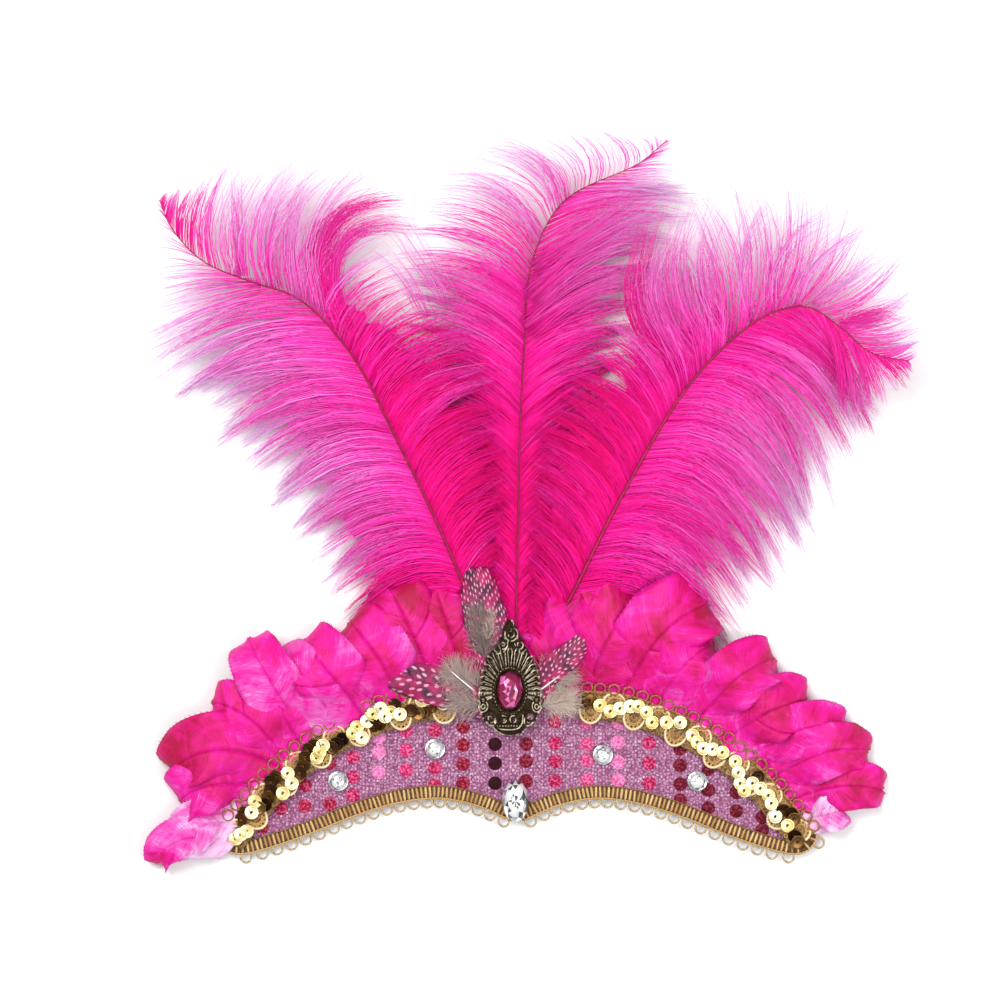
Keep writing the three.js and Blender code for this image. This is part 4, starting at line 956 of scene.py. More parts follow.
def sheet_form(grid, uv, tone, sign, thick=0.22):
    """A closed thin skin over a grid of points, as thick as a vane."""
    rows, columns = grid.shape[:2]
    normal = unit(np.cross(np.gradient(grid, axis=0), np.gradient(grid, axis=1)) * -sign)
    points = np.concatenate((grid.reshape(-1, 3), (grid - normal * thick).reshape(-1, 3)))
    index = np.arange(rows * columns).reshape(rows, columns)
    a, b, c, d = index[:-1, :-1], index[1:, :-1], index[1:, 1:], index[:-1, 1:]
    top = np.stack((a, b, c, d), -1).reshape(-1, 4)
    shift = rows * columns
    under = top[:, ::-1] + shift
    ring = np.concatenate((index[0, :-1], index[:-1, -1], index[-1, :0:-1], index[:0:-1, 0]))
    following = np.roll(ring, -1)
    rim = np.stack((ring, following, following + shift, ring + shift), -1)
    faces = np.concatenate((top, under, rim))
    if sign > 0:
        faces = faces[:, ::-1]
    uv = np.tile(uv.reshape(-1, 2), (2, 1))[faces.ravel()]
    return Form(points, faces.ravel(), np.full(len(faces), 4), np.tile(tone.ravel(), 2), uv)


def goose_line(root, tip, bow, hook, arch, curl):
    """The quill of a curled goose feather: it climbs from its root, arches over and turns down at its tip."""
    share = np.linspace(0, 1, 34)
    climb = np.radians(np.interp(share, (0, 0.15, 0.35, 0.6, 0.85, 1), (6, 14, 36, 4, -0.5 * curl, -curl)))
    turn = np.radians(bow * 4 * (0.5 - share) + hook * np.clip((share - 0.45) / 0.55, 0, 1) ** 1.3)
    step = np.stack((np.cos(climb) * np.cos(turn), np.cos(climb) * np.sin(turn), np.sin(climb)), -1)
    line = np.vstack((np.zeros(3), np.cumsum((step[1:] + step[:-1]) / 2, axis=0)))
    want = np.array(tip) - np.array(root[:2])
    size = np.hypot(*want) / np.hypot(line[-1, 0], line[-1, 1])
    angle = math.atan2(want[1], want[0]) - math.atan2(line[-1, 1], line[-1, 0])
    turned = np.array(((math.cos(angle), -math.sin(angle)), (math.sin(angle), math.cos(angle))))
    flat = (line[:, :2] * size) @ turned.T + np.array(root[:2])
    return np.column_stack((flat, root[2] + line[:, 2] * arch / line[:, 2].max()))


def goose_vane(rng, line, width, near, far):
    """Both sides of a broad satin vane, with a few splits, a waved edge and loose barb ends."""
    along = np.gradient(line, axis=0)
    along /= np.linalg.norm(along, axis=1, keepdims=True)
    run = run_of(line)
    run /= run[-1]
    columns = 9
    out = np.linspace(0, 1, columns)
    forms = []
    for sign in (1, -1):
        cuts = (0.0, rng.uniform(0.45, 0.85), 1.0) if rng.random() < 0.45 else (0.0, 1.0)
        wave, beat = rng.uniform(0, 6.3), rng.uniform(12, 20)
        for low, high in zip(cuts, cuts[1:]):
            rows = max(5, int((high - low) * 30))
            at = np.linspace(low, high, rows)
            place, ahead = (read_line(values, run, at) for values in (line, along))
            flat = unit(np.stack((-ahead[:, 1], ahead[:, 0], np.zeros(rows)), -1))
            up = np.cross(ahead, flat)
            outline = ((0, 0.2, 0.45, 0.7, 0.88, 1), (1.05, 1.15, 1.22, 1.16, 0.92, 0.42))
            reach = width / 2 * np.interp(at, *outline)
            between = np.abs(2 * (at - low) / (high - low) - 1)
            reach *= 1 - 0.06 * between**5 * (at < 0.97)
            lean = np.radians(np.interp(at, (0, 0.5, 0.85, 1), (76, 66, 50, 20)))[:, None] * (1 - 0.4 * out)
            step = np.cos(lean)[:, :, None] * ahead[:, None] + sign * np.sin(lean)[:, :, None] * flat[:, None]
            walk = np.cumsum((step[:, 1:] + step[:, :-1]) / 2, axis=1)
            walk = np.concatenate((np.zeros((rows, 1, 3)), walk), axis=1)
            grid = place[:, None] + walk * (reach / (columns - 1))[:, None, None]
            drop = -0.2 * width * out**2.2 * (0.4 + 0.6 * at[:, None])
            ripple = 0.085 * width * out**1.5 * np.sin(at[:, None] * beat + wave + 1.5 * out)
            grid += (drop + ripple)[:, :, None] * up[:, None]
            grid[:, :, 2] = np.maximum(grid[:, :, 2], 0.5 + 0.8 * (1 - out))
            uv = np.stack(np.broadcast_arrays(sign * out * reach[:, None], at[:, None] * 60), -1)
            # The tone runs from the table's near to its far value, a little paler towards the vane's edge;
            # low tones paint shade where the feather curls away from the light.
            tone = np.interp(at, (0, 0.45, 1), (near, (near + far) / 2, far))[:, None] + 0.1 * out**2
            tone = tone + rng.normal(0, 0.03, rows)[:, None] + 0.08 * np.sin(
                at[:, None] * 7 + 2.5 * out + wave
            )
            forms.append(sheet_form(grid, uv, tone, sign))
            forms.append(vane_strands(rng, grid, tone, int(42 * (high - low))))
            rim = np.linspace(0, rows - 1, int(rows * 1.4))
            ends = np.stack([read_line(grid[:, column], np.arange(rows), rim) for column in (-3, -2, -1)], 1)
            ends = np.concatenate((ends, ends[:, -1:] * 1.35 - ends[:, -2:-1] * 0.35), axis=1)
            ends[:, -1, :2] += rng.normal(0, 0.3, (len(rim), 2))
            ends[:, :, 2] += 0.15
            end_tone = np.interp(rim, np.arange(rows), tone[:, -1])[:, None] + np.zeros(4)
            widths = np.broadcast_to(np.array((0.25, 0.4, 0.38, 0.08)), ends.shape[:2])
            forms.append(strand_form(ends, widths, end_tone, np.zeros(len(rim))))
    return forms


def vane_strands(rng, grid, tone, count):
    """Single barbs that lie loose on a vane, lighter and darker than it."""
    rows, columns = grid.shape[:2]
    steps = np.linspace(0, 1, 4)
    row = rng.uniform(0, rows - 1.01, count)[:, None] + rng.normal(0, 0.7, count)[:, None] * steps
    start = rng.uniform(0, 0.55, count)
    column = (start[:, None] + rng.uniform(0.25, 0.45, count)[:, None] * steps) * (columns - 1)
    row = np.clip(row, 0, rows - 1.01)
    i, j = row.astype(int), column.astype(int)
    down, along = (row - i)[:, :, None], (column - j)[:, :, None]
    paths = (
        grid[i, j] * (1 - down) * (1 - along)
        + grid[i + 1, j] * down * (1 - along)
        + grid[i, j + 1] * (1 - down) * along
        + grid[i + 1, j + 1] * down * along
    )
    paths[:, :, 2] += 0.22
    widths = rng.uniform(0.2, 0.4, count)[:, None] * np.array((0.4, 1, 0.9, 0.3))
    shade = tone[i, j] + rng.normal(0.02, 0.13, count)[:, None]
    return strand_form(paths, widths, np.clip(shade, -0.1, 1.1), rng.uniform(-0.3, 0.3, count))


def fringe_down(rng, side):
    """The soft down at the feathers' roots that fills the fringe beside the gimp."""
    path = side_path(GIMP_ROUTE, side)
    count, rings = 360, 5
    share = rng.uniform(0.0, 1.0, count)
    root = beside(path, share, side * rng.uniform(8, 24, count), 0)
    root[:, 2] = 4.6 + 0.42 * rng.uniform(8, 24, count)
    ahead = path.heading(share)
    angle = np.arctan2(ahead[:, 1], ahead[:, 0]) + side * (math.pi / 2 + rng.normal(0, 0.5, count))
    angle += rng.normal(0, 0.2)
    reach = rng.uniform(2.5, 5.5, count)
    t = np.linspace(0, 1, rings)[None, :]
    swirl = angle[:, None] + rng.normal(0, 0.9, count)[:, None] * t
    x, y = (root[:, i, None] + reach[:, None] * t * turn(swirl) for i, turn in enumerate((np.cos, np.sin)))
    paths = np.stack((x, y, root[:, 2:] + 1.5 * t * rng.uniform(-0.5, 1.5, count)[:, None]), axis=-1)
    widths = rng.uniform(0.12, 0.2, count)[:, None] * np.linspace(1, 0.3, rings)
    tone = np.broadcast_to(rng.uniform(0.15, 0.55, count)[:, None], (count, rings))
    return strand_form(paths, widths, tone, rng.uniform(-0.5, 0.5, count), 0.3)


def fluff_clump(rng, start_x, start_y, end_x, end_y, reach, level, rise, count, tone):
    """A clump of down that fans out from its own short quill, thick at its middle and open at its edge."""
    rings = 5
    at = rng.uniform(0, 1, count) ** 0.8
    t = np.linspace(0, 1, rings)[None, :]
    run = np.array((end_x - start_x, end_y - start_y))
    heading = math.atan2(run[1], run[0])
    lean = rng.choice((-1, 1), count) * rng.uniform(0.15, 1.15, count)
    swirl = (heading + lean)[:, None] + rng.normal(0, 0.22, count)[:, None] * t
    swirl = swirl + 0.1 * np.sin(6 * t + rng.uniform(0, 6, count)[:, None])
    far = (reach * rng.uniform(0.45, 1.0, count) * (1 - 0.35 * at))[:, None]
    x = start_x + (run[0] * at)[:, None] + far * t * np.cos(swirl)
    y = start_y + (run[1] * at)[:, None] + far * t * np.sin(swirl)
    z = level + rng.uniform(-0.3, 2.4, count)[:, None] * np.sin(2.2 * t) + rise * at[:, None]
    widths = rng.uniform(0.12, 0.22, count)[:, None] * np.linspace(1, 0.3, rings)
    shade = np.clip(tone + rng.normal(0, 0.2, count)[:, None] + 0.3 * (t - 0.4), 0, 1)
    return strand_form(np.stack((x, y, z), -1), widths, shade, rng.uniform(-0.5, 0.5, count), 0.35)


def strip_form(path, near, far, low):
    """A flat ribbon beside a flat path: near and far are distances to its left, low its underside."""
    share, out = np.linspace(0, 1, 80), np.linspace(near, far, 4)
    grid = np.stack([beside(path, share, reach, low + STRIP_THICK) for reach in out], 1)
    uv = np.stack(np.meshgrid(share * path.length, out, indexing="ij"), -1)
    return sheet_form(grid, uv, np.zeros(grid.shape[:2]), 1 if far > near else -1, STRIP_THICK)


def left_of(path, share):
    heading = path.heading(share)
    return np.stack((-heading[:, 1], heading[:, 0]), -1)


def beside(path, share, reach, level):
    """Points to the left of a flat path, at a level."""
    share = np.atleast_1d(share)
    flat = path.at(share) + left_of(path, share) * np.broadcast_to(reach, share.shape)[:, None]
    return np.column_stack((flat, np.broadcast_to(level, share.shape)))


def placed_along(path, share, reach, level, tilt=0.0, roll=0.0, spin=0.0):
    """Matrices that put a unit beside a flat path, its X along the path and its Y to the left."""
    share = np.atleast_1d(share)
    spots = beside(path, share, reach, level)
    heading = path.heading(share)
    tilt, roll, spin = (np.broadcast_to(v, share.shape) for v in (tilt, roll, spin))
    places = []
    for spot, ahead, lean, bank, turn in zip(spots, heading, tilt, roll, spin):
        angle = math.atan2(ahead[1], ahead[0]) + turn
        place = Matrix.Translation(spot) @ Matrix.Rotation(angle, 4, "Z")
        places.append(place @ Matrix.Rotation(lean, 4, "Y") @ Matrix.Rotation(bank, 4, "X"))
    return places


def twisted_cord(line, radius, tone=0.0, pitch=1.6):
    """A two-ply cord along points."""
    run = run_of(line)
    fine = read_line(line, run, np.linspace(0, run[-1], max(int(run[-1] / 0.45), 8)))
    return tube_form(fine, radius, sides=7, twist=math.pi / pitch, lobes=2, depth=0.22, tone=tone)


def modelled_ball():
    """A small round bead of radius 1 mm, to be stamped."""
    deselect_all()
    bpy.ops.mesh.primitive_uv_sphere_add(segments=8, ring_count=6, radius=1)
    return taken_form(bpy.context.object)


def modelled_ring(middle, cord, around=18, sides=6):
    """A closed loop of cord, to be stamped."""
    deselect_all()
    bpy.ops.mesh.primitive_torus_add(
        major_segments=around, minor_segments=sides, major_radius=middle, minor_radius=cord
    )
    return taken_form(bpy.context.object)


def modelled_bar(length, width, high):
    """One rounded bar of gimp yarn, with its length along Y."""
    deselect_all()
    bpy.ops.mesh.primitive_uv_sphere_add(segments=8, ring_count=8, radius=0.5, rotation=(math.pi / 2, 0, 0))
    bar = bpy.context.object
    bpy.ops.object.transform_apply(rotation=True)
    form = taken_form(bar)
    form.points = np.sign(form.points) * np.abs(2 * form.points) ** np.array((1, 0.45, 1)) / 2
    form.points *= np.array((width, length, high))
    return form


def modelled_sequin(across):
    """A flat sequin: a thin coin with a thread hole and a rim that turns up a little."""
    deselect_all()
    bpy.ops.mesh.primitive_circle_add(vertices=14, radius=0.085 * across)
    cup = bpy.context.object
    bpy.ops.object.mode_set(mode="EDIT")
    for share, rise in ((0.2, 0.0), (0.43, 0.012), (0.5, 0.05)):
        now = max(math.hypot(v.co.x, v.co.y) for v in cup_points(cup))
        level = max(v.co.z for v in cup_points(cup))
        bpy.ops.mesh.extrude_region_move()
        grow = share * across / now
        bpy.ops.transform.resize(value=(grow, grow, 1))
        bpy.ops.transform.translate(value=(0, 0, rise * across - level))
    bpy.ops.object.mode_set(mode="OBJECT")
    skin = cup.modifiers.new("skin", "SOLIDIFY")
    skin.thickness = 0.12
    bpy.ops.object.modifier_apply(modifier="skin")
    return taken_form(cup)


def cup_points(cup):
    cup.update_from_editmode()
    return cup.data.vertices


def modelled_disc(across, high, sides=20):
    """A thin round dot with a soft edge."""
    deselect_all()
    bpy.ops.mesh.primitive_cylinder_add(
        vertices=sides, radius=across / 2, depth=high, location=(0, 0, high / 2)
    )
    disc = bpy.context.object
    bevel = disc.modifiers.new("edge", "BEVEL")
    bevel.width = high * 0.6
    bevel.segments = 2
    bevel.limit_method = "ANGLE"
    bpy.ops.object.modifier_apply(modifier="edge")
    return taken_form(disc)


def stone_form(rng, width, length, high, sides, shades):
    """A cut stone: girdle, crown and table, with the lower facets' light and dark drawn in the table."""
    rings = ((0.9, 0, 0), (1, 0.22, 0), (1, 0.34, 0), (0.8, 0.74, 0.5), (0.56, 1, 0), (0.28, 1.02, 0.5))
    points = [
        (
            share * width / 2 * math.cos(2 * math.pi * (i + shift) / sides),
            share * length / 2 * math.sin(2 * math.pi * (i + shift) / sides),
            level * high,
        )
        for share, level, shift in rings
        for i in range(sides)
    ]
    points.append((0, 0, 1.03 * high))
    faces = [tuple(range(sides))[::-1]]
    for ring in range(len(rings) - 1):
        turn = rings[ring + 1][2] - rings[ring][2]
        for i in range(sides):
            a, b = ring * sides + i, ring * sides + (i + 1) % sides
            c, d = a + sides, b + sides
            if turn == 0:
                faces.append((a, b, d, c))
            elif turn > 0:
                faces += [(a, b, c), (b, d, c)]
            else:
                faces += [(a, b, d), (a, d, c)]
    last = (len(rings) - 1) * sides
    faces += [(last + i, last + (i + 1) % sides, len(points) - 1) for i in range(sides)]
    corners = [corner for face in faces for corner in face]
    form = Form(points, corners, [len(face) for face in faces])
    form.tone = rng.choice(shades, len(faces))
    return form


def moved(form, x, y, z, tilt=0.0):
    """A form turned about X and put in place."""
    place = Matrix.Translation((x, y, z)) @ Matrix.Rotation(math.radians(tilt), 4, "X")
    matrix = np.array(place)
    return Form(form.points @ matrix[:3, :3].T + matrix[:3, 3], form.corners, form.sizes, form.tone, form.uv)


def on_brooch(form):
    return moved(form, BROOCH["x"], BROOCH["y"], BROOCH["z"], BROOCH["tilt"])


def copied_node(node, name, edge):
    """A copy of a CAD node with its points merged, its flat faces joined and its edges rounded."""
    deselect_all()
    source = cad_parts[node]
    piece = bpy.data.objects.new(name, source.data.copy())
    bpy.context.scene.collection.objects.link(piece)
    piece.select_set(True)
    bpy.context.view_layer.objects.active = piece
    bpy.ops.object.mode_set(mode="EDIT")
    bpy.ops.mesh.select_all(action="SELECT")
    bpy.ops.mesh.remove_doubles(threshold=1e-5)
    bpy.ops.mesh.dissolve_limited(angle_limit=math.radians(1))
    bpy.ops.object.mode_set(mode="OBJECT")
    rounded = piece.modifiers.new("edge", "BEVEL")
    rounded.width = edge * MM
    rounded.segments = 2
    rounded.limit_method = "ANGLE"
    bpy.ops.object.modifier_apply(modifier="edge")
    return piece


def size_property(kind, name, description, default, low, high):
    return kind(name=name, description=description, default=default, min=low, max=high)


class HeaddressSizes(bpy.types.PropertyGroup):
    barbs_thick: size_property(
        bpy.props.IntProperty, "Thick barbs", "Thick barbs on each side of a plume", 1300, 100, 2500
    )
    barbs_fine: size_property(
        bpy.props.IntProperty, "Fine barbs", "Fine loose barbs on each side of a plume", 1150, 100, 3000
    )
    sequin_across: size_property(
        bpy.props.FloatProperty, "Sequin", "Width of a sequin in millimetres", 6.2, 3, 10
    )
    picot_across: size_property(
        bpy.props.FloatProperty, "Picot", "Width of a picot loop in millimetres", 5.8, 3, 8
    )
    foil_across: size_property(
        bpy.props.FloatProperty, "Foil dot", "Width of a foil dot in millimetres", 6.2, 3, 10
    )


def colour_property(name, description, colour):
    return bpy.props.FloatVectorProperty(
        name=name, description=description, subtype="COLOR", size=3, min=0, max=1, default=linear(colour)
    )


class HeaddressColours(bpy.types.PropertyGroup):
    plume_deep: colour_property("Plume, deep", "Dye where the barbs lie thick", "ea0670")
    plume_bright: colour_property("Plume, bright", "Dye of most of the plume", "f2149a")
    goose_bright: colour_property("Goose feather", "Dye of the goose feathers", "dc1296")
    fabric: colour_property("Fabric", "Main thread of the band's weave", "cc88b0")
    gold_braid: colour_property("Braid", "Yarn of the gimp braids", "a67c44")
    sequin: colour_property("Sequin", "Metal of the cup sequins", "e0c478")


class HEADDRESS_OT_stage(bpy.types.Operator):
    """Adds the white floor, the soft studio light and the camera straight above"""

    bl_idname = "headdress.stage"
    bl_label = "Stage"

    def execute(self, context):
        scene = context.scene
        deselect_all()
        bpy.ops.mesh.primitive_plane_add(size=3.2, location=(0, 0, 0))
        floor = context.object
        floor.name = "floor"
        floor.data.materials.append(white_paper())

        world = bpy.data.worlds.new("studio")
        world.use_nodes = True
        sky = world.node_tree
        around = add_node(sky, "ShaderNodeTexCoord").outputs["Generated"]
        height = add_node(sky, "ShaderNodeSeparateXYZ", {0: around}).outputs["Z"]
        greys = ((0.0, 1.0), (0.12, 0.4), (0.7, 0.45), (0.86, 0.9), (1.0, 1.0))
        tent = add_node(sky, "ShaderNodeValToRGB", {"Fac": height}, stops=greys)
        background = sky.nodes["Background"]
        sky.links.new(source(tent), background.inputs["Color"])
        background.inputs["Strength"].default_value = 1.0
        scene.world = world

        for name, spot, size, power in (
            ("softbox_key", (-0.9, 0.9, 2.0), 1.4, 44),
            ("softbox_fill", (1.3, -0.6, 1.8), 1.2, 26),
        ):
            lamp = bpy.data.lights.new(name, "AREA")
            lamp.shape = "SQUARE"
            lamp.size = size
            lamp.energy = power
            holder = bpy.data.objects.new(name, lamp)
            holder.location = spot
            holder.rotation_mode = "QUATERNION"
            holder.rotation_quaternion = Vector(spot).to_track_quat("Z", "Y")
            scene.collection.objects.link(holder)

        camera = bpy.data.cameras.new("camera")
        camera.sensor_width = 36
        camera.lens = 400
        camera.clip_end = 20
        holder = bpy.data.objects.new("camera", camera)
        aim = to_frame((-6.75, 144.9, 0))
        holder.location = (aim[0], aim[1], 5.0)
        scene.collection.objects.link(holder)
        scene.camera = holder
        scene.view_settings.view_transform = "Standard"
        return {"FINISHED"}


class HEADDRESS_OT_plumes(bpy.types.Operator):
    """Makes the three ostrich plumes, each with its quill and two sides of barbs"""

    bl_idname = "headdress.plumes"
    bl_label = "Ostrich plumes"

    def execute(self, context):
        sizes = context.scene.headdress_sizes
        barb_finish, quill_finish = dyed_ostrich(), dyed_quill()
        for seed, name in enumerate(PLUMES):
            rng = np.random.default_rng(310 + seed)
            quill = Path(PLUMES[name][0])
            node = f"plume_{name}"
            for side, sign in (("left", 1), ("right", -1)):
                vane = Vane(name, sign)
                form = plume_barbs(rng, vane, sizes.barbs_thick, sizes.barbs_fine)
                make_piece(f"{node}_{side}_barbs", form, barb_finish, (node,))
                make_piece(
                    f"{node}_{side}_down", plume_down(rng, vane), barb_finish, (node,)
                )
            loose = [wisp(rng, *row[1:]) for row in WISPS if row[0] == name]
            make_piece(f"{node}_wisps", joined(loose), barb_finish, (node,))
            quill_form = feather_quill(quill, 0.8 if name == "centre" else 1.4, 0.3)
            make_piece(f"{node}_quill", quill_form, quill_finish, (node,))
        return {"FINISHED"}


class HEADDRESS_OT_goose_fringe(bpy.types.Operator):
    """Makes the fringe of curled goose feathers on each side"""

    bl_idname = "headdress.goose_fringe"
    bl_label = "Goose feather fringe"

    def execute(self, context):
        vane_finish, quill_finish = dyed_goose(), dyed_quill()
        for name, side, rows in (("left", -1, GOOSE_LEFT), ("right", 1, GOOSE_RIGHT)):
            rng = np.random.default_rng(77 + side)
            vanes, quills = [], []
            for layer, (
                root_x, root_y, tip_x, tip_y, width, bow, hook, arch, curl, near, far
            ) in enumerate(rows):
                root = (root_x, root_y, 4.2 + 0.12 * layer)
                line = goose_line(root, (tip_x, tip_y), bow, hook, arch, curl)
                vanes += goose_vane(rng, line, width, near, far)
                quills.append(tube_form(line[:-2], np.linspace(0.24, 0.08, len(line) - 2), 6))
            vanes.append(fringe_down(rng, side))
            node = f"goose_fringe_{name}"
            make_piece(f"{node}_vanes", joined(vanes), vane_finish, (node,))
            make_piece(f"{node}_quills", joined(quills), quill_finish, (node,))
        return {"FINISHED"}


class HEADDRESS_OT_guinea(bpy.types.Operator):
    """Makes the three spotted guinea feathers and the fluff round the brooch"""

    bl_idname = "headdress.guinea"
    bl_label = "Guinea feathers"

    def execute(self, context):
        finish, down, bare = guinea_vane(), natural_fluff(), bare_quill()
        for seed, (name, row) in enumerate(GUINEA_FEATHERS.items()):
            root_x, root_y, tip_x, tip_y, width, bow, arch, across, along = row
            rng = np.random.default_rng(500 + seed)
            node = f"guinea_feather_{name}"
            line = goose_line((root_x, root_y, GUINEA_ROOT_Z), (tip_x, tip_y), bow, 0, arch, 20)
            vane = joined(goose_vane(rng, line, width, 0.2, 0.2))
            vane.uv = vane.uv * np.array((across, along * math.dist((root_x, root_y), (tip_x, tip_y)) / 60))
            make_piece(f"{node}_vane", vane, finish, (node,))
            clumps = [fluff_clump(rng, *clump) for clump in FLUFF[2 * seed : 2 * seed + 2]]
            make_piece(f"{node}_down", joined(clumps), down, (node,))
        shafts = []
        for start, end in BARE_QUILLS:
            t = np.linspace(0, 1, 9)[:, None]
            flat = np.array(start) * (1 - t) + np.array(end) * t
            level = 13.4 - 1.4 * (2 * t - 1) ** 2
            shafts.append(tube_form(np.hstack((flat, level)), np.linspace(0.42, 0.22, 9), 8))
        make_piece("guinea_bare_quills", joined(shafts), bare)
        return {"FINISHED"}


class HEADDRESS_OT_band(bpy.types.Operator):
    """Makes the covered crescent band with its columns of foil dots"""

    bl_idname = "headdress.band"
    bl_label = "Band and foil dots"

    def execute(self, context):
        sizes = context.scene.headdress_sizes
        cover = copied_node("band", "band_cover", 0.5)
        cover.data.shade_flat()
        declare(cover, band_weave(), ("band",))
        dot = modelled_disc(sizes.foil_across, 0.16)
        dots = [(x, y, BOARD_TOP) for x, heights in FOIL_DOTS for y in heights]
        places = [Matrix.Translation(spot) for spot in dots]
        tones = [np.interp(abs(x), *FOIL_TONES[x > 0]) for x, _, _ in dots]
        make_piece("foil_dots", stamped(dot, places, tones), pressed_foil())
        return {"FINISHED"}


class HEADDRESS_OT_lower_braid(bpy.types.Operator):
    """Makes the ribbed gimp braid and its picot loops along the lower edge"""

    bl_idname = "headdress.lower_braid"
    bl_label = "Lower braid"

    def execute(self, context):
        rng = np.random.default_rng(21)
        sizes = context.scene.headdress_sizes
        bar = modelled_bar(5.4, 1.35, 1.1)
        picot = modelled_ring(sizes.picot_across / 2 - 0.5, 0.5)
        grounds, bars, cords, picots = [], [], [], []
        for side in (1, -1):
            path = side_path(BAND_LOWER_EDGE + BRAID_END, side)
            down = -side
            grounds.append(strip_form(path, down * 0.2, down * 5.9, BRAID_LOW))
            count = round(path.length / BAR_PITCH)
            places = placed_along(
                path, middles(count), down * 3.0, BRAID_LOW + 0.75, spin=rng.normal(0, 0.05, count)
            )
            bars.append(stamped(bar, places, rng.uniform(0.0, 0.4, count)))
            for reach, rise, radius, tone in ((5.75, 0.65, 0.5, 0.2), (0.35, 0.6, 0.38, 0.1)):
                cords.append(
                    twisted_cord(beside(path, CORD_STEPS, down * reach, BRAID_LOW + rise), radius, tone)
                )
            count = int(path.length / LOWER_PICOT_PITCH)
            turns = rng.uniform(0, 6, count)
            places = placed_along(path, middles(count), down * 7.5, BRAID_LOW + 0.5, spin=turns)
            picots.append(stamped(picot, places))
        yarn = gold_yarn()
        # The dark brown ground is partly its cotton and partly painted shade in the gaps between the bars.
        cotton = braid_ground("brown_braid_ground", "24140a", "6b4420")
        tan = picot_yarn("tan_picot_yarn", "7c6648", "d2bd98")
        layers = (
            ("ground", grounds, cotton), ("bars", bars, yarn), ("cords", cords, yarn), ("picots", picots, tan)
        )
        for name, forms, finish in layers:
            make_piece(f"lower_braid_{name}", joined(forms), finish, ("lower_braid",))
        return {"FINISHED"}


def shell_arcs(path, middle, inner, sign, curl):
    """Nested half loops of cord that make one fan shell of the scroll gimp."""
    forms = []
    half = 5.1 / path.length
    base, reach = (2.0, 6.2) if inner else (1.2, 4.9)
    for share, radius, tone in ((0.28, 0.4, 0.0), (0.58, 0.46, 0.12), (0.98, 0.62, 0.62)):
        angle = np.linspace(-0.12, math.pi + 0.12, 15)
        at = np.clip(middle - np.cos(angle) * half * share, 0, 1)
        line = beside(path, at, sign * (base + reach * share * np.sin(angle)), GIMP_LOW + 1.0)
        forms.append(twisted_cord(line, radius, tone, pitch=1.2))
    angle = np.linspace(0.15, math.pi - 0.15, 7)
    at = np.clip(middle - np.cos(angle) * half * 0.78, 0, 1)
    spots = beside(path, at, sign * (base + reach * 0.78 * np.sin(angle)), GIMP_LOW + 1.1)
    forms.append(stamped(curl, [Matrix.Translation(spot) for spot in spots], np.full(7, 0.3)))
    return forms


class HEADDRESS_OT_upper_braid(bpy.types.Operator):
    """Makes the wide scroll gimp on the upper edge: ground, fan shells, cord and picots"""

    bl_idname = "headdress.upper_braid"
    bl_label = "Upper scroll gimp"

    def execute(self, context):
        finish, ground = gold_yarn(), braid_ground("tan_gimp_ground", "4a2e14", "a07c48")
        copper = picot_yarn("copper_picot_yarn", "6a2c1a", "c08650")
        sizes = context.scene.headdress_sizes
        picot = modelled_ring(sizes.picot_across / 2 - 0.42, 0.42)
        curl = modelled_ring(0.8, 0.28, 10, 4)
        for name, side in (("left", -1), ("right", 1)):
            rng = np.random.default_rng(40 + side)
            path = side_path(GIMP_ROUTE, side)
            node = f"upper_braid_{name}"
            base = strip_form(path, side * -6.6, side * 5.9, GIMP_LOW)
            make_piece(f"{node}_ground", base, ground, (node,))
            forms = []
            for i, middle in enumerate(middles(2 * round(path.length / SHELL_PITCH))):
                inner = i % 2 == 0
                forms += shell_arcs(path, middle, inner, -side if inner else side, curl)
            forms.append(twisted_cord(beside(path, CORD_STEPS, side * 6.0, GIMP_LOW + 0.7), 0.5, 0.15))
            share = rng.uniform(0.01, 0.99, LOOSE_CURLS)
            places = placed_along(path, share, rng.uniform(-5.5, 5.2, LOOSE_CURLS), GIMP_LOW + 0.9)
            forms.append(stamped(curl, places, rng.uniform(0, 0.4, LOOSE_CURLS)))
            make_piece(f"{node}_shells", joined(forms), finish, (node,))
            share = middles(int(path.length / UPPER_PICOT_PITCH))
            places = placed_along(path, share, side * 7.7, GIMP_LOW + 2.4, roll=side * 0.35)
            make_piece(f"{node}_picots", stamped(picot, places), copper, (node,))
        return {"FINISHED"}


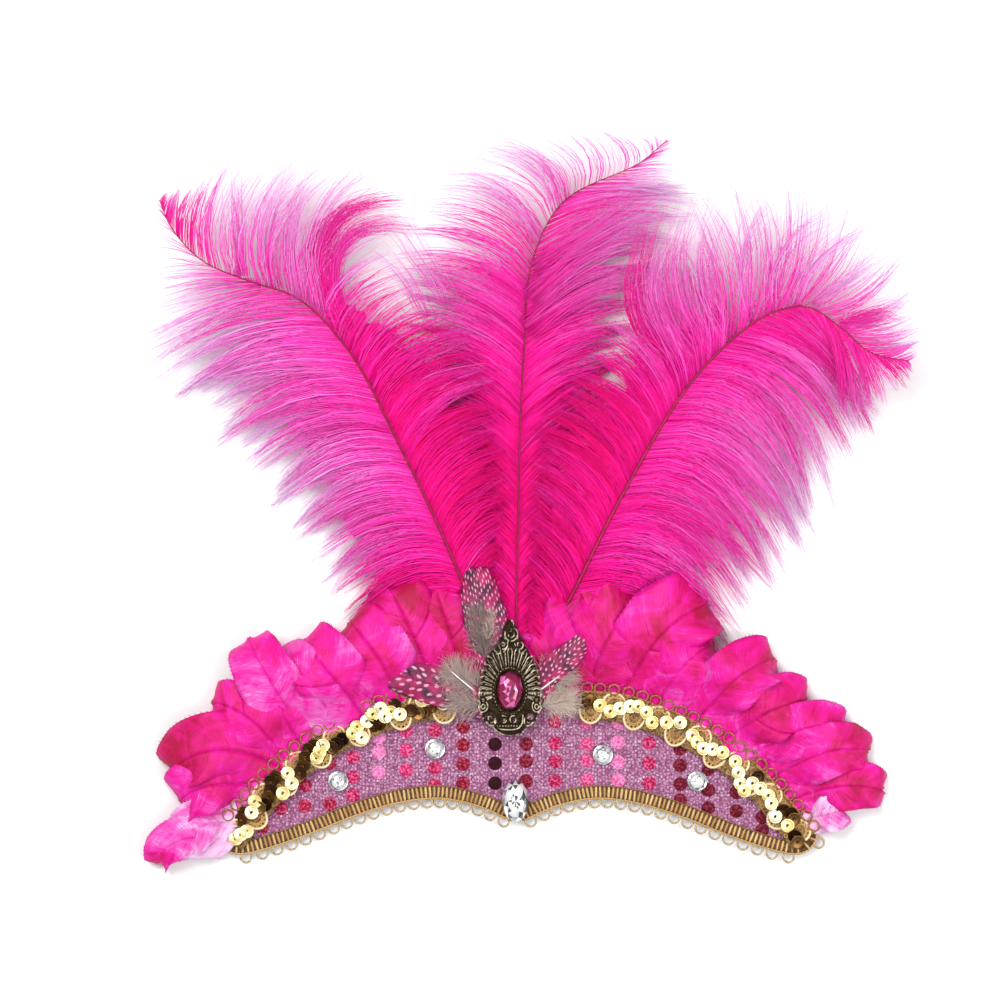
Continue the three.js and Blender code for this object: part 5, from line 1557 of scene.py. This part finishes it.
class HEADDRESS_OT_sequins(bpy.types.Operator):
    """Sews the strings of gold sequins in a wave on the scroll gimp, some painted with a highlight and the
    rest with a dark reflection
    """

    bl_idname = "headdress.sequins"
    bl_label = "Cup sequins"

    def execute(self, context):
        finish = cup_sequin_gold()
        sequin = modelled_sequin(context.scene.headdress_sizes.sequin_across)
        # bright holds the places of the sequins with a painted highlight.
        for name, side, bright in (("left", -1, HIGHLIT_LEFT), ("right", 1, HIGHLIT_RIGHT)):
            rng = np.random.default_rng(60 + side)
            path = side_path(GIMP_ROUTE, side)
            share = middles(round(path.length / SEQUIN_PITCH))
            swing = 2.6 * np.sin(
                share * path.length / SHELL_PITCH * 2 * math.pi
            ) + rng.normal(0, 0.4, len(share))
            spots = beside(path, share, side * swing, SEQUIN_LOW)[:, :2]
            clear = np.min(np.linalg.norm(spots[:, None] - np.array(bright), axis=2), axis=1) > HIGHLIT_REACH
            # The sequins away from the highlit ones get a painted dark reflection.
            dull = share[clear]
            level = SEQUIN_LOW + 0.4 + 0.3 * (np.arange(len(dull)) % 2)
            tilt = rng.uniform(0.2, 0.45, len(dull))
            places = placed_along(path, dull, side * swing[clear], level, tilt, rng.normal(0, 0.2, len(dull)))
            # Low tones: a painted dark brown reflection.
            tones = list(rng.uniform(0.0, 0.28, len(dull)))
            for i, (x, y) in enumerate(bright):
                lean = Matrix.Rotation(
                    rng.uniform(0.08, 0.2), 4, "Y"
                ) @ Matrix.Rotation(rng.normal(0, 0.05), 4, "X")
                places.append(Matrix.Translation((x, y, SEQUIN_LOW + 1.0 + 0.35 * (i % 2))) @ lean)
                # High tones: a painted highlight.
                tones.append(rng.uniform(0.62, 1.0))
            string = stamped(sequin, places, tones)
            make_piece(f"sequins_{name}", string, finish, (f"sequin_string_{name}",), False)
        return {"FINISHED"}


class HEADDRESS_OT_stones(bpy.types.Operator):
    """Sets the clear stones on the band and the pink stone in the brooch"""

    bl_idname = "headdress.stones"
    bl_label = "Cut stones"

    def execute(self, context):
        # The shades listed for each stone are painted reflections on its facets, dark and bright.
        rng = np.random.default_rng(8)
        clear = cut_glass("foil_backed_clear_glass", "2a2e34", "b4b8bc", "ffffff")
        silver = silver_setting()
        cup = modelled_disc(9.2, 1.1, 28)
        rim = modelled_ring(4.25, 0.4, 28, 6)
        for i, (x, y) in enumerate(ROUND_STONES):
            node = f"round_stone_{i + 1}"
            stone = stone_form(rng, 7.8, 7.8, 2.6, 8, (0.25, 0.6, 0.85, 1.0, 1.0))
            make_piece(
                f"{node}_glass", moved(stone, x, y, BRAID_LOW + 0.8), clear, (node,), False
            )
            setting = joined((moved(cup, x, y, BRAID_LOW), moved(rim, x, y, BRAID_LOW + 1.1)))
            make_piece(f"{node}_setting", setting, silver, (node,))
        oval = stone_form(rng, 12.4, 18.8, 4.6, 12, (0.05, 0.35, 0.75, 0.95, 1.0))
        oval = moved(oval, OVAL_MIDDLE.x, OVAL_MIDDLE.y, GIMP_LOW + 0.2)
        make_piece("oval_stone_glass", oval, clear, ("oval_stone",), False)
        pink = cut_glass("foil_backed_pink_glass", "3c0220", "9c0850", "ff80d0")
        stone = stone_form(rng, 12.3, 18.6, 4.6, 8, (0.1, 0.2, 0.3, 0.4, 0.45, 0.9))
        stone = on_brooch(moved(stone, 0, 0, BROOCH["thick"] + 0.4))
        make_piece("brooch_stone_glass", stone, pink, ("brooch_stone",), False)
        return {"FINISHED"}


def wire(points, level, radius, steps=24):
    """A round wire that runs smoothly through flat points on the brooch."""
    line = Path(points).at(np.linspace(0, 1, steps))
    return tube_form(np.column_stack((line, np.full(steps, level))), radius, 6)


def wire_loop(x, y, half_wide, half_high, level, turn, radius):
    """An oval of wire, turned by an angle."""
    around = np.linspace(0, 2 * math.pi, 19)
    across, along = half_wide * np.cos(around), half_high * np.sin(around)
    xs = x + across * math.cos(turn) - along * math.sin(turn)
    ys = y + across * math.sin(turn) + along * math.cos(turn)
    return tube_form(np.column_stack((xs, ys, np.full(19, level))), radius, 6)


def wire_scroll(x, y, outer, level, sign, start):
    """A spiral of wire of one and a half turns, wound one way for each side of the brooch."""
    steps = 34
    turn = np.linspace(0, 3 * math.pi, steps)
    radius = np.linspace(outer, 0.35, steps)
    spiral = (
        x + sign * radius * np.cos(turn + start), y + radius * np.sin(turn + start), np.full(steps, level)
    )
    return tube_form(np.column_stack(spiral), 0.32, 6)


def brooch_reach(angle):
    """Distance from the stone's middle to the brooch's edge."""
    outline = np.array([(half, y) for y, half in BROOCH_EDGE])
    outline = np.vstack((outline, outline * np.array((-1, 1))))
    angles = np.arctan2(outline[:, 1], outline[:, 0])
    order = np.argsort(angles)
    reach = np.hypot(outline[:, 0], outline[:, 1])
    return float(np.interp(angle, angles[order], reach[order], period=2 * math.pi))


class HEADDRESS_OT_brooch(bpy.types.Operator):
    """Makes the bronze brooch: a dark plate under wires laid as petals, loops and scrolls, with beads"""

    bl_idname = "headdress.brooch"
    bl_label = "Bronze brooch"

    def execute(self, context):
        plate_finish = antique_bronze("blackened_bronze_plate", "18120c", "3c3022", 0.55)
        wire_finish = antique_bronze("rubbed_bronze_wire", "8c7c66", "e2d6c0", 0.4)
        plate = copied_node("brooch", "brooch_plate", 0.12)
        declare(plate, plate_finish, ("brooch",))
        plate.data.shade_flat()
        bead = modelled_ball()
        top = BROOCH["thick"] + 0.25
        forms, beads = [], []
        for angle in np.radians(np.linspace(-18, 198, 21)):
            ahead = np.array((math.cos(angle), math.sin(angle)))
            left = np.array((-ahead[1], ahead[0]))
            near = 1 / math.hypot(ahead[0] / 8.0, ahead[1] / 11.0)
            far = min(brooch_reach(angle), 19.5) - 0.2
            span = far - near
            petal = [(0, 0.3), (0.5, 0.75), (0.86, 0.95), (1, 0), (0.86, -0.95), (0.5, -0.75), (0, -0.3)]
            forms.append(
                wire([ahead * (near + span * run) + left * half for run, half in petal], top, 0.27, 22)
            )
            forms.append(wire([ahead * (near + span * run) for run in (0, 0.35, 0.7)], top, 0.2, 6))
            beads.append((*(ahead * (far + 0.3)), top, 0.62))
        around = np.linspace(0, 2 * math.pi, 39)[:-1]
        beads += [(7.3 * math.cos(a), 10.3 * math.sin(a), top + 0.3, 0.5) for a in around]
        beads += [(x, -15.9, top + 0.1, 0.42) for x in np.linspace(-5.6, 4.4, 9)]
        beads += [(0.9, 31.3, top, 0.8), (-2.2, 23.6, top, 0.6), (3.4, 23.6, top, 0.6)]
        for turn in np.radians(np.linspace(200, 340, 17)):
            reach = brooch_reach(turn)
            beads.append((reach * math.cos(turn), reach * math.sin(turn), top, 0.6))
        for x, y, half_wide, half_high, rise, radius in CREST_LOOPS:
            forms.append(wire_loop(x, y, half_wide, half_high, top + rise, 0, radius))
        for sign in (1, -1):
            forms.append(wire_scroll(0.5 + sign * 3.8, 20.6, 2.4, top + 0.2, sign, 2.6))
            forms.append(
                wire([(0.5 + sign * 1.2, 22.6), (0.5 + sign * 3.0, 17.8), (sign * 7.2, 16.2)], top + 0.2, 0.3)
            )
            for x, y, half_wide, half_high, rise, turn, radius in SIDE_LOOPS:
                forms.append(wire_loop(sign * x, y, half_wide, half_high, top + rise, turn * sign, radius))
            forms.append(wire_scroll(-0.7 + sign * 2.3, -13.1, 1.9, top + 0.3, sign, 1.2))
        forms += [wire(points, top + 0.2, radius, steps) for points, radius, steps in TRAY_WIRES]
        places = [Matrix.Translation(spot) @ Matrix.Scale(size, 4) for *spot, size in beads]
        forms.append(stamped(bead, places))
        make_piece("brooch_filigree", on_brooch(joined(forms)), wire_finish, ("brooch",))
        return {"FINISHED"}


PIECE_OPERATORS = (
    HEADDRESS_OT_stage,
    HEADDRESS_OT_plumes,
    HEADDRESS_OT_goose_fringe,
    HEADDRESS_OT_guinea,
    HEADDRESS_OT_band,
    HEADDRESS_OT_lower_braid,
    HEADDRESS_OT_upper_braid,
    HEADDRESS_OT_sequins,
    HEADDRESS_OT_stones,
    HEADDRESS_OT_brooch,
)


class HEADDRESS_PT_sidebar(bpy.types.Panel):
    """Lists the pieces of the headdress with their sizes and colours"""

    bl_label = "Headdress"
    bl_idname = "HEADDRESS_PT_sidebar"
    bl_space_type = "VIEW_3D"
    bl_region_type = "UI"
    bl_category = "Headdress"

    def draw(self, context):
        layout = self.layout
        for group in (context.scene.headdress_sizes, context.scene.headdress_colours):
            box = layout.box()
            for name in group.__annotations__:
                box.prop(group, name)
        for operator in PIECE_OPERATORS:
            layout.operator(operator.bl_idname)


CLASSES = (HeaddressSizes, HeaddressColours, *PIECE_OPERATORS, HEADDRESS_PT_sidebar)


def register():
    for cls in CLASSES:
        bpy.utils.register_class(cls)
    bpy.types.Scene.headdress_sizes = bpy.props.PointerProperty(type=HeaddressSizes)
    bpy.types.Scene.headdress_colours = bpy.props.PointerProperty(type=HeaddressColours)


def unregister():
    del bpy.types.Scene.headdress_colours
    del bpy.types.Scene.headdress_sizes
    for cls in reversed(CLASSES):
        bpy.utils.unregister_class(cls)


def main():
    register()
    for operator in PIECE_OPERATORS:
        getattr(bpy.ops.headdress, operator.bl_idname.split(".")[1])()


if __name__ == "__main__":
    main()
